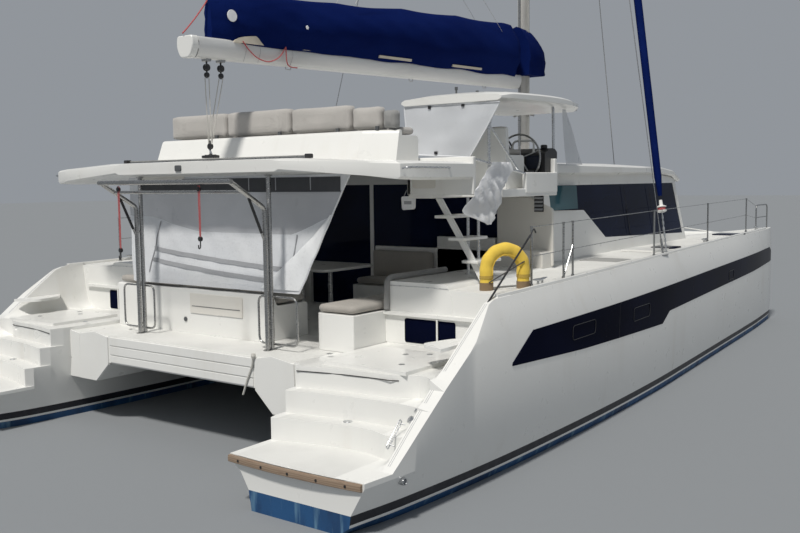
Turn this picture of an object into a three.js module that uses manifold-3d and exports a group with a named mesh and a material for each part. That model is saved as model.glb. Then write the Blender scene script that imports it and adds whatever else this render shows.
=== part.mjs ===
// A 15.4 m cruising sailing catamaran, afloat with its mainsail stowed on the boom.
// Millimetres. +X is the bow, +Y is port, +Z is up.
// The origin is on the waterline, on the centreline, halfway along the hulls.
import * as THREE from "three";
import { mergeVertices } from "three/addons/utils/BufferGeometryUtils.js";
import Module from "manifold-3d";

const wasm = await Module();
wasm.setup();

// Driving dimensions of the whole boat
const LENGTH = 15400;
const BOW_X = LENGTH / 2;
const STERN_X = -LENGTH / 2;
const HULL_Y = 2980;
const KEEL_Z = -1600;
const MASTHEAD_Z = 22500;
const GAP = 0.3;

// Levels
const PLATFORM_Z = 520;
const STEP_RISE = 235;
const AFT_DECK_Z = 1220;
const SOLE_Z = 1170;
const WET_DECK_Z = 780;
const FOREDECK_Z = 1950;
const ROOF_UNDER_Z = 3200;
const ROOF_TOP_Z = 3380;
const HELM_FLOOR_Z = 3000;
const BIMINI_UNDER_Z = 4060;

// Places along the boat
const AFT_BEAM_X = -6450;
const ISLAND_X = -5100;
const BULKHEAD_X = -2500;
const FOREDECK_X = 4700;
const FOREBEAM_X = 6450;
const MAST_X = 2000;
const MAST_CHORD = 260;
const MAST_WIDTH = 160;
const GOOSENECK_X = 1700;
const SHROUD_X = -150;
const SHROUD_Y = 3590;
const HOUNDS_Z = 19600;

// Colours and finishes
const WHITE = { color: 0xf2f1ec, roughness: 0.35, metalness: 0 };
const NAVY_GLASS = { color: 0x0d1224, roughness: 0.08, metalness: 0.1 };
const STEEL = { color: 0xc6c9cc, roughness: 0.22, metalness: 1 };
const ALLOY = { color: 0xc9c8c3, roughness: 0.45, metalness: 0.7 };
const BEIGE = { color: 0xb9b2a6, roughness: 0.8, metalness: 0 };
const NAVY_CLOTH = { color: 0x18264f, roughness: 0.85, metalness: 0 };
const CURTAIN = { color: 0xcfd3d8, roughness: 0.4, metalness: 0 };
const SILVER_CLOTH = { color: 0xc5c8cb, roughness: 0.7, metalness: 0 };
const BLACK = { color: 0x1c1d20, roughness: 0.5, metalness: 0 };
const NET = { color: 0xe3e3df, roughness: 0.9, metalness: 0 };
const YELLOW = { color: 0xe2b51c, roughness: 0.6, metalness: 0 };
const BRONZE = { color: 0xa98a4c, roughness: 0.4, metalness: 1 };
const BLUE = { color: 0x1d4f8f, roughness: 0.7, metalness: 0 };

const model = new THREE.Group();
model.name = "sailing_catamaran";

// A solid for joining and cutting, from any closed geometry
function solid(geometry) {
  const bare = geometry.clone();
  bare.deleteAttribute("normal");
  bare.deleteAttribute("uv");
  const merged = mergeVertices(bare);
  const corners = merged.index.array;
  const kept = [];
  for (let i = 0; i < corners.length; i += 3) {
    const [a, b, c] = corners.slice(i, i + 3);
    if (a !== b && b !== c && c !== a) kept.push(a, b, c);
  }
  return new wasm.Manifold(new wasm.Mesh({
    numProp: 3,
    vertProperties: new Float32Array(merged.attributes.position.array),
    triVerts: new Uint32Array(kept),
  }));
}

function join(...solids) {
  return solids.reduce((whole, next) => whole.add(next));
}

function shell(form) {
  const mesh = form.getMesh();
  const geometry = new THREE.BufferGeometry();
  geometry.setAttribute("position", new THREE.BufferAttribute(mesh.vertProperties, 3));
  geometry.setIndex(new THREE.BufferAttribute(mesh.triVerts, 1));
  return geometry;
}

// The same geometry on the other side of the centreline
function mirrored(geometry) {
  const copy = geometry.clone();
  copy.scale(1, -1, 1);
  const corners = copy.index.array;
  for (let i = 0; i < corners.length; i += 3) {
    const kept = corners[i];
    corners[i] = corners[i + 1];
    corners[i + 1] = kept;
  }
  return copy;
}

function place(name, form, finish, position = [0, 0, 0]) {
  const geometry = form.isBufferGeometry ? form : shell(form);
  geometry.computeVertexNormals();
  const mesh = new THREE.Mesh(geometry, new THREE.MeshStandardMaterial(finish));
  mesh.name = name;
  mesh.position.set(...position);
  model.add(mesh);
  return mesh;
}

// A starboard piece and its mirror image
function placePair(name, form, finish, position = [0, 0, 0]) {
  const [x, y, z] = position;
  place(`${name}_starboard`, form, finish, position);
  place(`${name}_port`, mirrored(shell(form)), finish, [x, -y, z]);
}

// A closed skin through rings of [x, y, z] points, each ring with as many points
function loft(rings) {
  const count = rings[0].length;
  const index = [];
  for (let r = 0; r < rings.length - 1; r += 1) {
    for (let i = 0; i < count; i += 1) {
      const j = (i + 1) % count;
      const near = r * count;
      const far = near + count;
      index.push(near + i, near + j, far + j, near + i, far + j, far + i);
    }
  }
  const last = (rings.length - 1) * count;
  index.push(...cap(rings[0], 0, true), ...cap(rings[rings.length - 1], last, false));
  const points = rings.flat();
  if (enclosed(points, index) < 0) index.reverse();
  const geometry = new THREE.BufferGeometry();
  geometry.setAttribute("position", new THREE.Float32BufferAttribute(points.flat(), 3));
  geometry.setIndex(index);
  return solid(geometry);
}

// Triangles over one ring, wound with it or against it
function cap(ring, first, against) {
  const spans = [0, 1, 2].map((k) => {
    const values = ring.map((p) => p[k]);
    return Math.max(...values) - Math.min(...values);
  });
  const flat = spans.indexOf(Math.min(...spans));
  const [u, v] = [0, 1, 2].filter((k) => k !== flat);
  const outline = ring.map((p) => new THREE.Vector2(p[u], p[v]));
  const turn = Math.sign(THREE.ShapeUtils.area(outline));
  const triangles = [];
  for (const [a, b, c] of THREE.ShapeUtils.triangulateShape(outline, [])) {
    const sign = Math.sign(THREE.ShapeUtils.area([outline[a], outline[b], outline[c]]));
    const keep = (sign === turn) !== against;
    triangles.push(first + a, first + (keep ? b : c), first + (keep ? c : b));
  }
  return triangles;
}

function enclosed(points, index) {
  let volume = 0;
  for (let i = 0; i < index.length; i += 3) {
    const [a, b, c] = [0, 1, 2].map((k) => new THREE.Vector3(...points[index[i + k]]));
    volume += a.dot(b.cross(c));
  }
  return volume;
}

// An outline drawn in the plane across an axis, drawn out from one place on it to another.
// Across y the outline is x, z; across x it is y, z; across z it is x, y.
const AXES = {
  x: [[0, 1, 0], [0, 0, 1], [1, 0, 0]],
  y: [[1, 0, 0], [0, 0, 1], [0, -1, 0]],
  z: [[1, 0, 0], [0, 1, 0], [0, 0, 1]],
};

function prism(axis, outline, from, to) {
  const shape = outline.isShape ? outline : new THREE.Shape(outline.map((p) => new THREE.Vector2(...p)));
  const geometry = new THREE.ExtrudeGeometry(shape, {
    depth: to - from, bevelEnabled: false, curveSegments: 8,
  });
  const [u, v, w] = AXES[axis].map((a) => new THREE.Vector3(...a));
  geometry.applyMatrix4(new THREE.Matrix4().makeBasis(u, v, w));
  const start = axis === "y" ? w.clone().multiplyScalar(-to) : w.clone().multiplyScalar(from);
  geometry.translate(start.x, start.y, start.z);
  return solid(geometry);
}

function block(x, y, z) {
  const geometry = new THREE.BoxGeometry(x[1] - x[0], y[1] - y[0], z[1] - z[0]);
  geometry.translate((x[0] + x[1]) / 2, (y[0] + y[1]) / 2, (z[0] + z[1]) / 2);
  return solid(geometry);
}

// A straight round bar between two points
function bar(from, to, radius, sides = 8, endRadius = radius) {
  const start = new THREE.Vector3(...from);
  const run = new THREE.Vector3(...to).sub(start);
  const geometry = new THREE.CylinderGeometry(endRadius, radius, run.length(), sides);
  geometry.translate(0, run.length() / 2, 0);
  const up = new THREE.Vector3(0, 1, 0);
  geometry.applyQuaternion(new THREE.Quaternion().setFromUnitVectors(up, run.normalize()));
  geometry.translate(start.x, start.y, start.z);
  return solid(geometry);
}

// A bent round tube: corners are eased over the bend length on each side
function tube(corners, radius, bend = 120, sides = 8, steps = 6) {
  const points = corners.map((p) => new THREE.Vector3(...p));
  const route = new THREE.CurvePath();
  let start = points[0];
  for (let i = 1; i < points.length - 1; i += 1) {
    const into = points[i].clone().lerp(points[i - 1], bend / points[i].distanceTo(points[i - 1]));
    const out = points[i].clone().lerp(points[i + 1], bend / points[i].distanceTo(points[i + 1]));
    route.add(new THREE.LineCurve3(start, into));
    route.add(new THREE.QuadraticBezierCurve3(into, points[i], out));
    start = out;
  }
  route.add(new THREE.LineCurve3(start, points[points.length - 1]));
  const section = new THREE.Shape();
  for (let i = 0; i < sides; i += 1) {
    const angle = (i / sides) * 2 * Math.PI;
    const spot = [radius * Math.cos(angle), radius * Math.sin(angle)];
    if (i) section.lineTo(...spot);
    else section.moveTo(...spot);
  }
  const count = Math.max(steps, Math.ceil(route.getLength() / bend));
  return solid(new THREE.ExtrudeGeometry(section, {
    steps: Math.min(count, 40), extrudePath: route, bevelEnabled: false,
  }));
}

function lathe(profile, sides = 16) {
  return solid(new THREE.LatheGeometry(profile.map((p) => new THREE.Vector2(...p)), sides));
}

// Between the rows of a table whose first column rises: the other columns at one place
function between(table, at) {
  const k = table.findIndex((row, i) => i + 1 === table.length - 1 || at <= table[i + 1][0]);
  const [low, high] = [table[k], table[k + 1]];
  const share = (at - low[0]) / (high[0] - low[0]);
  return low.map((value, i) => value + (high[i] - value) * share);
}

// Starboard hull. Half-widths are measured from the hull's own centreline.
const HULL_SECTIONS = [
  // x, outboard, at the chine, at the boot top, inboard, at the waterline, depth, knuckle z, deck z
  [STERN_X + 40, 920, 880, 740, 780, 560, 60, 1480, 1880],
  [-7000, 960, 930, 800, 800, 660, 230, 1490, 1880],
  [-5600, 1000, 970, 880, 830, 760, 480, 1500, 1880],
  [-4000, 980, 950, 890, 830, 790, 640, 1515, 1905],
  [-2400, 930, 895, 860, 830, 780, 720, 1530, 1930],
  [-800, 840, 810, 790, 830, 720, 750, 1545, 1945],
  [500, 740, 715, 700, 830, 640, 750, 1555, 1955],
  [3200, 530, 510, 495, 830, 440, 700, 1580, 1970],
  [FOREDECK_X, 410, 395, 380, 640, 330, 650, 1590, 1980],
  [5900, 300, 290, 280, 420, 240, 570, 1600, 1985],
  [6900, 190, 185, 175, 210, 140, 480, 1610, 1990],
  [7450, 120, 115, 108, 120, 80, 380, 1612, 1995],
  [BOW_X, 50, 48, 44, 50, 30, 280, 1615, 2000],
];
const CHAMFER = 150;
const TOE_DEPTH = 85;
const CHINE_Z = 470;
const BOOT_Z = 200;
const TUCK_Z = 760;

function hullRing([x, outboard, chine, boot, inboard, water, depth, knuckle, deck], out = 0) {
  const edge = Math.min(CHAMFER, outboard * 0.3);
  const low = -Math.min(80, 0.35 * depth);
  const half = [
    [outboard + out - edge, deck + out], [outboard + out - 0.15 * edge, deck - TOE_DEPTH],
    [outboard + out, knuckle], [chine + out, CHINE_Z],
    [boot + out, BOOT_Z], [water + out, low], [water * 0.86 + out, -0.5 * depth],
    [water * 0.5, -0.88 * depth - out], [water * 0.1, -depth - out],
  ];
  const inner = [
    [-water * 0.1, -depth - out], [-water * 0.5, -0.88 * depth - out],
    [-water * 0.86 - out, -0.5 * depth], [-water - out, low],
    [-(water + inboard) / 2 - out, BOOT_Z + 150], [-inboard - out, TUCK_Z], [-inboard - out, deck + out],
  ];
  return [...half, ...inner].map(([u, z]) => [x, -HULL_Y - u, z]);
}

function hullSkin(out = 0) {
  const rings = HULL_SECTIONS.map((row) => hullRing(row, out));
  rings[0].forEach((p) => { p[0] -= out; });
  rings[rings.length - 1].forEach((p) => { p[0] += out; });
  return loft(rings);
}

const BULWARK_INNER_Y = -3700;
const TREAD_XS = [-7000, -6750, -6550];
const COAMING_Z = 1950;

function hullStarboard() {
  const bulwark = prism("y", [
    [STERN_X - 100, PLATFORM_Z], [-7300, PLATFORM_Z], [-6960, 800], [-6520, 1150], [-5580, 1840],
    [-5380, 1900], [-5380, 2600], [STERN_X - 100, 2600],
  ], -5000, -1000);
  const stairs = [[STERN_X - 100, 2600], [STERN_X - 100, PLATFORM_Z]];
  TREAD_XS.forEach((x, i) => {
    stairs.push([x, PLATFORM_Z + i * STEP_RISE]);
    stairs.push([x, i === 2 ? AFT_DECK_Z : PLATFORM_Z + (i + 1) * STEP_RISE]);
  });
  stairs.push([ISLAND_X, AFT_DECK_Z], [ISLAND_X, 2600]);
  const well = prism("y", stairs, BULWARK_INNER_Y, -1000);
  const stockBore = bar(
    [RUDDER_X, -HULL_Y, -600], [RUDDER_X, -HULL_Y, STOCK_BORE_Z], STOCK_RADIUS + 0.9, 20,
  );
  return join(hullSkin(), keel(), saildrive())
    .subtract(bulwark).subtract(well).subtract(stockBore)
    .add(cockpitCoaming()).add(rubRail());
}

// The moulding along the cockpit's side, over the aft cabin
function cockpitCoaming() {
  const outline = [[-3080, 1800], [-3010, COAMING_Z], [-2200, COAMING_Z], [-2160, 1910], [-2160, 1800]];
  return prism("x", outline, ISLAND_X, BULKHEAD_X - 20);
}

// The bumper along the stern platform's edge
function rubRail() {
  return block([STERN_X, STERN_X + 60], [-HULL_Y - 860, -HULL_Y + 760], [PLATFORM_Z - 90, PLATFORM_Z - 4]);
}

// A stub keel moulded on the hull
function keel() {
  const levels = [
    // z, leading edge x, trailing edge x, half-thickness
    [-700, 1500, -1300, 190], [-1350, 1250, -1050, 150], [KEEL_Z, 1050, -950, 95],
  ];
  const rings = levels.map(([z, front, back, half]) => {
    const length = front - back;
    const shape = [[0, 0.05], [0.08, 0.6], [0.3, 1], [0.6, 0.75], [0.97, 0.12]];
    const side = shape.map(([along, thick]) => [front - along * length, half * thick]);
    const ring = [...side.map(([x, y]) => [x, y]), ...side.reverse().map(([x, y]) => [x, -y])];
    return ring.map(([x, y]) => [x, -HULL_Y + y, z]);
  });
  return loft(rings);
}

// The drive leg under the engine, with its gear case
const DRIVE_X = -4300;
const DRIVE_Z = -1150;
const CASE_RADIUS = 85;

function saildrive() {
  const leg = loft([-500, DRIVE_Z].map((z) => {
    const plan = [[190, 0], [120, 45], [-110, 45], [-200, 0], [-110, -45], [120, -45]];
    return plan.map(([x, y]) => [DRIVE_X + x, -HULL_Y + y, z]);
  }));
  const profile = [[0, -230], [40, -215], [CASE_RADIUS, -100], [CASE_RADIUS, 120], [60, 240], [0, 270]];
  const turned = lathe(profile, 12);
  const geometry = shell(turned);
  geometry.rotateZ(-Math.PI / 2);
  geometry.translate(DRIVE_X, -HULL_Y, DRIVE_Z);
  return join(leg, solid(geometry));
}

const PROPELLER_X = DRIVE_X - 230 - 0.5;
const BLADES = 3;

// A three-bladed propeller about its own centre, its shaft along X
function propeller() {
  const profile = [[0, -130], [35, -120], [55, -60], [42, 0], [0, 0]];
  const hubGeometry = shell(lathe(profile, 12));
  hubGeometry.rotateZ(-Math.PI / 2);
  let whole = solid(hubGeometry);
  for (let i = 0; i < BLADES; i += 1) {
    const outline = new THREE.Shape();
    outline.moveTo(-35, 20);
    outline.bezierCurveTo(-120, 120, -110, 240, -20, 255);
    outline.bezierCurveTo(70, 240, 90, 120, 35, 20);
    const blade = new THREE.ExtrudeGeometry(outline, { depth: 12, bevelEnabled: false, curveSegments: 5 });
    blade.translate(0, 0, -6);
    blade.rotateY(Math.PI / 2 - 0.6);
    blade.rotateX(Math.PI / 2);
    blade.translate(-60, 0, 0);
    blade.rotateX((i / BLADES) * 2 * Math.PI);
    whole = whole.add(solid(blade));
  }
  return whole;
}

// A spade rudder about its stock
const RUDDER_X = -6500;
const STOCK_RADIUS = 32;
const STOCK_BORE_Z = 60;
const RUDDER_TOP_Z = -420;
const RUDDER_FOOT_Z = -1380;

function rudder() {
  const levels = [[RUDDER_TOP_Z, 190, -330, 45], [RUDDER_FOOT_Z, 130, -240, 24]];
  const blade = loft(levels.map(([z, front, back, half]) => {
    const length = front - back;
    const shape = [[0, 0.1], [0.1, 0.7], [0.3, 1], [0.65, 0.7], [1, 0.08]];
    const side = shape.map(([along, thick]) => [front - along * length, half * thick]);
    const ring = [...side, ...side.slice().reverse().map(([x, y]) => [x, -y])];
    return ring.map(([x, y]) => [x, y, z]);
  }));
  return blade.add(bar([0, 0, RUDDER_TOP_Z - 300], [0, 0, STOCK_BORE_Z - 1], STOCK_RADIUS, 20));
}

// The dark glass band along the topsides
const BAND_THICK = 8;

function windowBand() {
  const top = HULL_SECTIONS.filter(([x]) => x > -4900 && x < 7400).map((row) => [row[0], row[7] - 10]);
  const outline = [
    [-5320, 1170], [-3600, 1085], [-680, 1000], [-350, 1150], [2160, 1190], [5370, 1235], [7380, 1290],
    [7380, 1600], ...top.reverse(), [-4880, 1500],
  ];
  return hullSkin(BAND_THICK).intersect(prism("y", outline, -5000, -3000)).subtract(hullSkin(GAP));
}

// The deck between the hulls, from the aft beam to the foredeck
function bridgedeck() {
  const profile = [
    [AFT_BEAM_X, WET_DECK_Z + 40], [AFT_BEAM_X, SOLE_Z], [3250, SOLE_Z], [3250, FOREDECK_Z],
    [FOREDECK_X, FOREDECK_Z], [FOREDECK_X, 1560], [4100, 1050], [2900, WET_DECK_Z], [-5900, WET_DECK_Z],
  ];
  const corner = [[-1330, WET_DECK_Z + 20], [-1590, 560], [-2400, 560], [-2400, WET_DECK_Z + 20]];
  const starboardCorner = prism("x", corner, AFT_BEAM_X, AFT_BEAM_X + 900);
  const raw = prism("y", profile, -2500, 2500)
    .add(starboardCorner).add(solid(mirrored(shell(starboardCorner))));
  const starboard = hullSkin(GAP);
  return raw.subtract(starboard).subtract(solid(mirrored(shell(starboard))));
}

// The saloon's walls, and the panes in their windows
const WALL = 60;
const CABIN_FOOT_Z = 1900;
const CABIN_PLAN = [
  // x and half-width at the foot, x and half-width under the roof
  [BULKHEAD_X, 2600, BULKHEAD_X, 2500],
  [3600, 2600, 3120, 2500],
  [4250, 1350, 3700, 1250],
];
const DOOR_Y = [150, 1400];
const DOOR_TOP_Z = 3060;
const AFT_PANE_Y = [-2150, 80];
const AFT_PANE_Z = [1900, 3060];
const SIDE_GLASS = [[-1900, 3020], [3060, 3020], [3420, 2090], [40, 2190], [-680, 2640], [-2010, 2670]];
const FRONT_GLASS_Y = 2380;
const FRONT_GLASS_Z = [2180, 3000];
const PANE_DEPTH = [8, 32];

function cabinLoft(inset, from, to) {
  const rings = [from, to].map((z) => {
    const rise = (z - CABIN_FOOT_Z) / (ROOF_UNDER_Z - CABIN_FOOT_Z);
    const side = CABIN_PLAN.map(([x0, y0, x1, y1], i) => [
      x0 + (x1 - x0) * rise + (i === 0 ? inset : -inset), y0 + (y1 - y0) * rise - inset,
    ]);
    const port = side.slice().reverse();
    return [...side.map(([x, y]) => [x, -y, z]), ...port.map(([x, y]) => [x, y, z])];
  });
  return loft(rings);
}

// An outline with every edge moved inwards by a margin
function shrunk(outline, margin) {
  const points = outline.map((p) => new THREE.Vector2(...p));
  const turn = Math.sign(THREE.ShapeUtils.area(points));
  return points.map((point, i) => {
    const before = points[(i + points.length - 1) % points.length];
    const after = points[(i + 1) % points.length];
    const into = point.clone().sub(before).normalize();
    const out = after.clone().sub(point).normalize();
    const bisector = new THREE.Vector2(-into.y - out.y, into.x + out.x).normalize();
    const reach = (turn * margin) / bisector.dot(new THREE.Vector2(-into.y, into.x));
    return point.clone().addScaledVector(bisector, reach).toArray();
  });
}

function sideWindow(margin) {
  return prism("y", shrunk(SIDE_GLASS, margin), -2900, -2300);
}

function frontWindow(margin) {
  const [low, high] = FRONT_GLASS_Z;
  const half = FRONT_GLASS_Y - margin;
  return block([2650, 4700], [-half, half], [low + margin, high - margin]);
}

// Everything over the roof's sloping front part
function aboveRoofEdge() {
  const edge = ROOF_SECTIONS.filter(([x]) => x > 2000).map(([x, , low]) => [x, low - GAP]);
  const [, lastZ] = edge.at(-1);
  return prism("y", [...edge, [4300, lastZ], [4300, ROOF_TOP_Z], [edge[0][0], ROOF_TOP_Z]], -4000, 4000);
}

function cabin() {
  const bulkhead = block([BULKHEAD_X, BULKHEAD_X + WALL], [-2300, 2300], [SOLE_Z + GAP, CABIN_FOOT_Z + 60]);
  const starboardHull = hullSkin(GAP);
  const side = sideWindow(0);
  const through = [BULKHEAD_X - 100, BULKHEAD_X + 200];
  return cabinLoft(0, CABIN_FOOT_Z, ROOF_UNDER_Z - GAP)
    .subtract(cabinLoft(WALL, CABIN_FOOT_Z - 300, ROOF_UNDER_Z + 100))
    .add(bulkhead)
    .subtract(starboardHull).subtract(solid(mirrored(shell(starboardHull))))
    .subtract(block([3250 - GAP, FOREDECK_X], [-2500, 2500], [1500, FOREDECK_Z + GAP]))
    .subtract(side).subtract(solid(mirrored(shell(side)))).subtract(frontWindow(0))
    .subtract(block(through, DOOR_Y, [SOLE_Z - 100, DOOR_TOP_Z]))
    .subtract(block(through, AFT_PANE_Y, AFT_PANE_Z)).subtract(aboveRoofEdge());
}

function paneSheet() {
  const [outer, inner] = PANE_DEPTH;
  return cabinLoft(outer, CABIN_FOOT_Z, ROOF_UNDER_Z).subtract(cabinLoft(inner, 1500, 3500));
}

function aftGlass() {
  const [outer, inner] = PANE_DEPTH;
  return block(
    [BULKHEAD_X + outer, BULKHEAD_X + inner],
    [AFT_PANE_Y[0] + GAP, AFT_PANE_Y[1] - GAP], [AFT_PANE_Z[0] + GAP, AFT_PANE_Z[1] - GAP],
  );
}

// The sliding door's leaf runs inside the bulkhead, on its track in the sole
const DOOR_LAP = 40;

function saloonDoor() {
  const x = [BULKHEAD_X + WALL + 6, BULKHEAD_X + WALL + 46];
  return block(x, [DOOR_Y[0] - DOOR_LAP, DOOR_Y[1] + DOOR_LAP], [SOLE_Z + 0.5, DOOR_TOP_Z + DOOR_LAP]);
}

// The hardtop over the cockpit, one moulding with the saloon's roof
const ROOF_SECTIONS = [
  // x, half-width, lower edge z, upper edge z, level top's half-width, top z,
  // level underside's half-width, underside z
  [-6150, 1500, 3260, 3345, 1300, 3370, 1400, 3235],
  [-6060, 2700, 3170, 3320, 1650, ROOF_TOP_Z, 2200, 3215],
  [-5960, 3020, 3130, 3305, 1650, ROOF_TOP_Z, 2300, 3210],
  [-5700, 3080, 3120, 3310, 1650, ROOF_TOP_Z, 2350, 3205],
  [-2600, 3080, 3120, 3315, 1650, ROOF_TOP_Z, 2600, ROOF_UNDER_Z],
  [-1900, 2750, 3170, 3320, 1620, ROOF_TOP_Z, 2650, ROOF_UNDER_Z],
  [2300, 2620, 3180, 3290, 1500, ROOF_TOP_Z, 2560, ROOF_UNDER_Z],
  [2900, 2600, 3140, 3240, 1400, 3360, 2540, 3160],
  [3350, 2540, 3040, 3110, 1200, 3290, 2440, 3060],
  [3950, 1500, 3020, 3085, 700, 3170, 1400, 3040],
];

const HELM_WELL = { x: [-4650, BULKHEAD_X - 60], y: [-3080, -2140] };

function roofSkin(out = 0) {
  return loft(ROOF_SECTIONS.map(([x, half, low, edge, flat, top, level, under]) => {
    const side = [
      [level, under - out], [half - 40, low - out], [half, low + 30], [half, edge + out], [flat, top + out],
    ];
    return [...side.map(([y, z]) => [x, -y, z]), ...side.reverse().map(([y, z]) => [x, y, z])];
  }));
}

function roof() {
  const [x0, x1] = HELM_WELL.x;
  const well = block([x0 - GAP, x1 + GAP], [-3400, HELM_WELL.y[1] + GAP], [3000, 3600]);
  return roofSkin().subtract(well);
}

function roofUnder(x) {
  return between(ROOF_SECTIONS, x)[7];
}

// The raised helm: its moulded floor and coaming, its console, seat and steps
const POD_WALL = 60;
const POD_FLOOR = [HELM_FLOOR_Z - 100, HELM_FLOOR_Z];
const STAIR_HEAD = { x: -3990, y: -2500 };
const SIDE_WALL = { x: -3420, top: 3200 };

function helmPod() {
  const [x0, x1] = HELM_WELL.x;
  const [y0, y1] = HELM_WELL.y;
  const walls = [HELM_FLOOR_Z - 60, ROOF_TOP_Z];
  return join(
    block([x0, x0 + POD_WALL], [y0, y1], walls), block([x0, x1], [y1 - POD_WALL, y1], walls),
    block([x1 - POD_WALL, x1], [y0, y1], walls),
    block([SIDE_WALL.x, x1], [y0, y0 + POD_WALL], [walls[0], SIDE_WALL.top]),
    block([STAIR_HEAD.x, x1], [y0, y1], POD_FLOOR), block([x0, x1], [STAIR_HEAD.y, y1], POD_FLOOR),
  );
}

const CONSOLE_Y = [-3000, -2400];
const CONSOLE_AFT_X = -2780;

function helmConsole() {
  const inner = HELM_WELL.x[1] - POD_WALL - GAP;
  return prism("y", [
    [CONSOLE_AFT_X, HELM_FLOOR_Z + GAP], [inner, HELM_FLOOR_Z + GAP], [inner, ROOF_TOP_Z + GAP],
    [-2440, ROOF_TOP_Z + GAP], [-2440, 3470], [-2500, 3510], [-2620, 3520], [CONSOLE_AFT_X, 3450],
  ], ...CONSOLE_Y);
}

const WHEEL = { y: -2660, z: 3390, radius: 310, rim: 16, spokes: 5, stand: 75 };
const WHEEL_X = CONSOLE_AFT_X - 0.5 - WHEEL.stand;

// The wheel about its own centre, its shaft along X and towards the bow
function helmWheel() {
  const rim = new THREE.TorusGeometry(WHEEL.radius, WHEEL.rim, 6, 28);
  rim.rotateY(Math.PI / 2);
  let whole = solid(rim).add(bar([-20, 0, 0], [WHEEL.stand, 0, 0], 42, 12));
  for (let i = 0; i < WHEEL.spokes; i += 1) {
    const angle = (i / WHEEL.spokes) * 2 * Math.PI;
    const end = [0, WHEEL.radius * Math.cos(angle), WHEEL.radius * Math.sin(angle)];
    whole = whole.add(bar([0, 0, 0], end, 9, 6));
  }
  return whole;
}

const SEAT_X = [-3580, -3120];
const SEAT_Y = [-2880, -2230];
const SEAT_TOP_Z = 3420;

function helmSeat() {
  const [x0, x1] = SEAT_X;
  return prism("y", [
    [x0, HELM_FLOOR_Z + GAP], [x1, HELM_FLOOR_Z + GAP], [x1 - 30, SEAT_TOP_Z], [x0 + 130, SEAT_TOP_Z],
    [x0 + 60, 3760], [x0, 3760],
  ], ...SEAT_Y);
}

function helmCushion() {
  const [x0, x1] = SEAT_X;
  return prism("y", [
    [x0 + 130.5, SEAT_TOP_Z + GAP], [x1 - 10, SEAT_TOP_Z + GAP], [x1 - 10, 3500], [x0 + 190, 3510],
    [x0 + 130, 3780], [x0 + 62, 3780],
  ], SEAT_Y[0] + 30, SEAT_Y[1] - 30);
}

const TREADS = [
  // y of the middle, z of the top
  [-2600, 2700], [-2790, 2440], [-2980, 2180],
];
const TREAD_X = [-4590, -4040];
const TREAD_HALF = 115;
const TREAD_THICK = 35;
const STRINGER_X = [-4525, -4485];

function helmSteps() {
  const treads = TREADS.map(([y, z]) => block(TREAD_X, [y - TREAD_HALF, y + TREAD_HALF], [z - TREAD_THICK, z]));
  const foot = deckZ(STRINGER_X[1]) + 0.5;
  const stringer = prism("x", [
    [-2462, POD_FLOOR[0] - GAP], [-2552, POD_FLOOR[0] - GAP], [-3195, foot], [-3105, foot],
  ], ...STRINGER_X);
  const posts = [0, 1].map((i) => {
    const [y, z] = TREADS[i];
    const side = y + (i ? 70 : 30);
    const x = STAIR_HEAD.x + 20;
    return join(
      bar([x, side, COAMING_Z + GAP], [x, side, POD_FLOOR[0] - GAP], 18),
      bar([TREAD_X[1] - 20, side, z - TREAD_THICK / 2], [x, side, z - TREAD_THICK / 2], 12),
    );
  });
  const [lastY, lastZ] = TREADS[2];
  const leg = bar([-4100, lastY, COAMING_Z + GAP], [-4100, lastY, lastZ - 10], 18);
  return join(...treads, stringer, ...posts, leg);
}

// The small roof over the helm, on four raked struts
const BIMINI_SECTIONS = [
  // x, half-width, underside z, edge z, top z
  [-3990, 740, 4060, 4130, 4160],
  [-3750, 775, 4065, 4160, 4200],
  [-2500, 775, 4075, 4180, 4230],
  [-1950, 740, 4060, 4140, 4180],
  [-1700, 600, 4040, 4075, 4090],
];
const BIMINI_Y = -2320;
const STRUT_FOOT_Z = ROOF_TOP_Z + 3.7;
const STRUTS = [
  // x, y and z at the foot, x and y under the bimini
  [-3800, -1560, STRUT_FOOT_Z, -3700, -1640], [-1900, -1560, STRUT_FOOT_Z, -1880, -1640],
  [-2350, -2900, 3324, -2330, -2880], [-3930, -2850, HELM_FLOOR_Z + GAP, -3930, -2850],
];
const STRUT_RADIUS = 20;
const RAIL_Y = HELM_WELL.y[0] + 16;
const RAIL_END_GAP = 2.6;

function bimini() {
  const rings = BIMINI_SECTIONS.map(([x, half, under, edge, top]) => [
    [x, -half], [x, -half * 0.6], [x, half * 0.6], [x, half],
  ].map(([px, y], i) => [px, BIMINI_Y + y, i === 0 || i === 3 ? edge : top]).concat([
    [x, BIMINI_Y + half - 30, under], [x, BIMINI_Y - half + 30, under],
  ]));
  const struts = STRUTS.map(([x0, y0, z0, x1, y1]) => bar([x0, y0, z0], [x1, y1, 4100], STRUT_RADIUS));
  const [, , , braceX, braceY] = STRUTS[3];
  const brace = bar([braceX, braceY, 3780], [-3560, RAIL_Y, 3203], 16);
  const rail = bar(
    [HELM_WELL.x[0] + POD_WALL + RAIL_END_GAP, RAIL_Y, 3350],
    [SIDE_WALL.x - RAIL_END_GAP, RAIL_Y, SIDE_WALL.top - 16], 16,
  );
  return join(loft(rings), ...struts, brace, rail);
}

// The lounge on the hardtop: its moulded seat and its cushions
const LOUNGE_Y = [-2350, 1600];
const RETURN_Y = [1000, 1600];
const RETURN_X = -3700;
const LOUNGE_TOP_Z = 3640;

function loungeBase() {
  const foot = ROOF_TOP_Z - 100;
  const bench = prism("y", [
    [-5400, foot], [-5240, 3700], [-5150, 3700], [-5140, LOUNGE_TOP_Z], [-4700, LOUNGE_TOP_Z],
    [-4700, foot],
  ], ...LOUNGE_Y);
  return bench.add(block([-4710, RETURN_X], RETURN_Y, [foot, LOUNGE_TOP_Z])).subtract(roofSkin(GAP));
}

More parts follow.
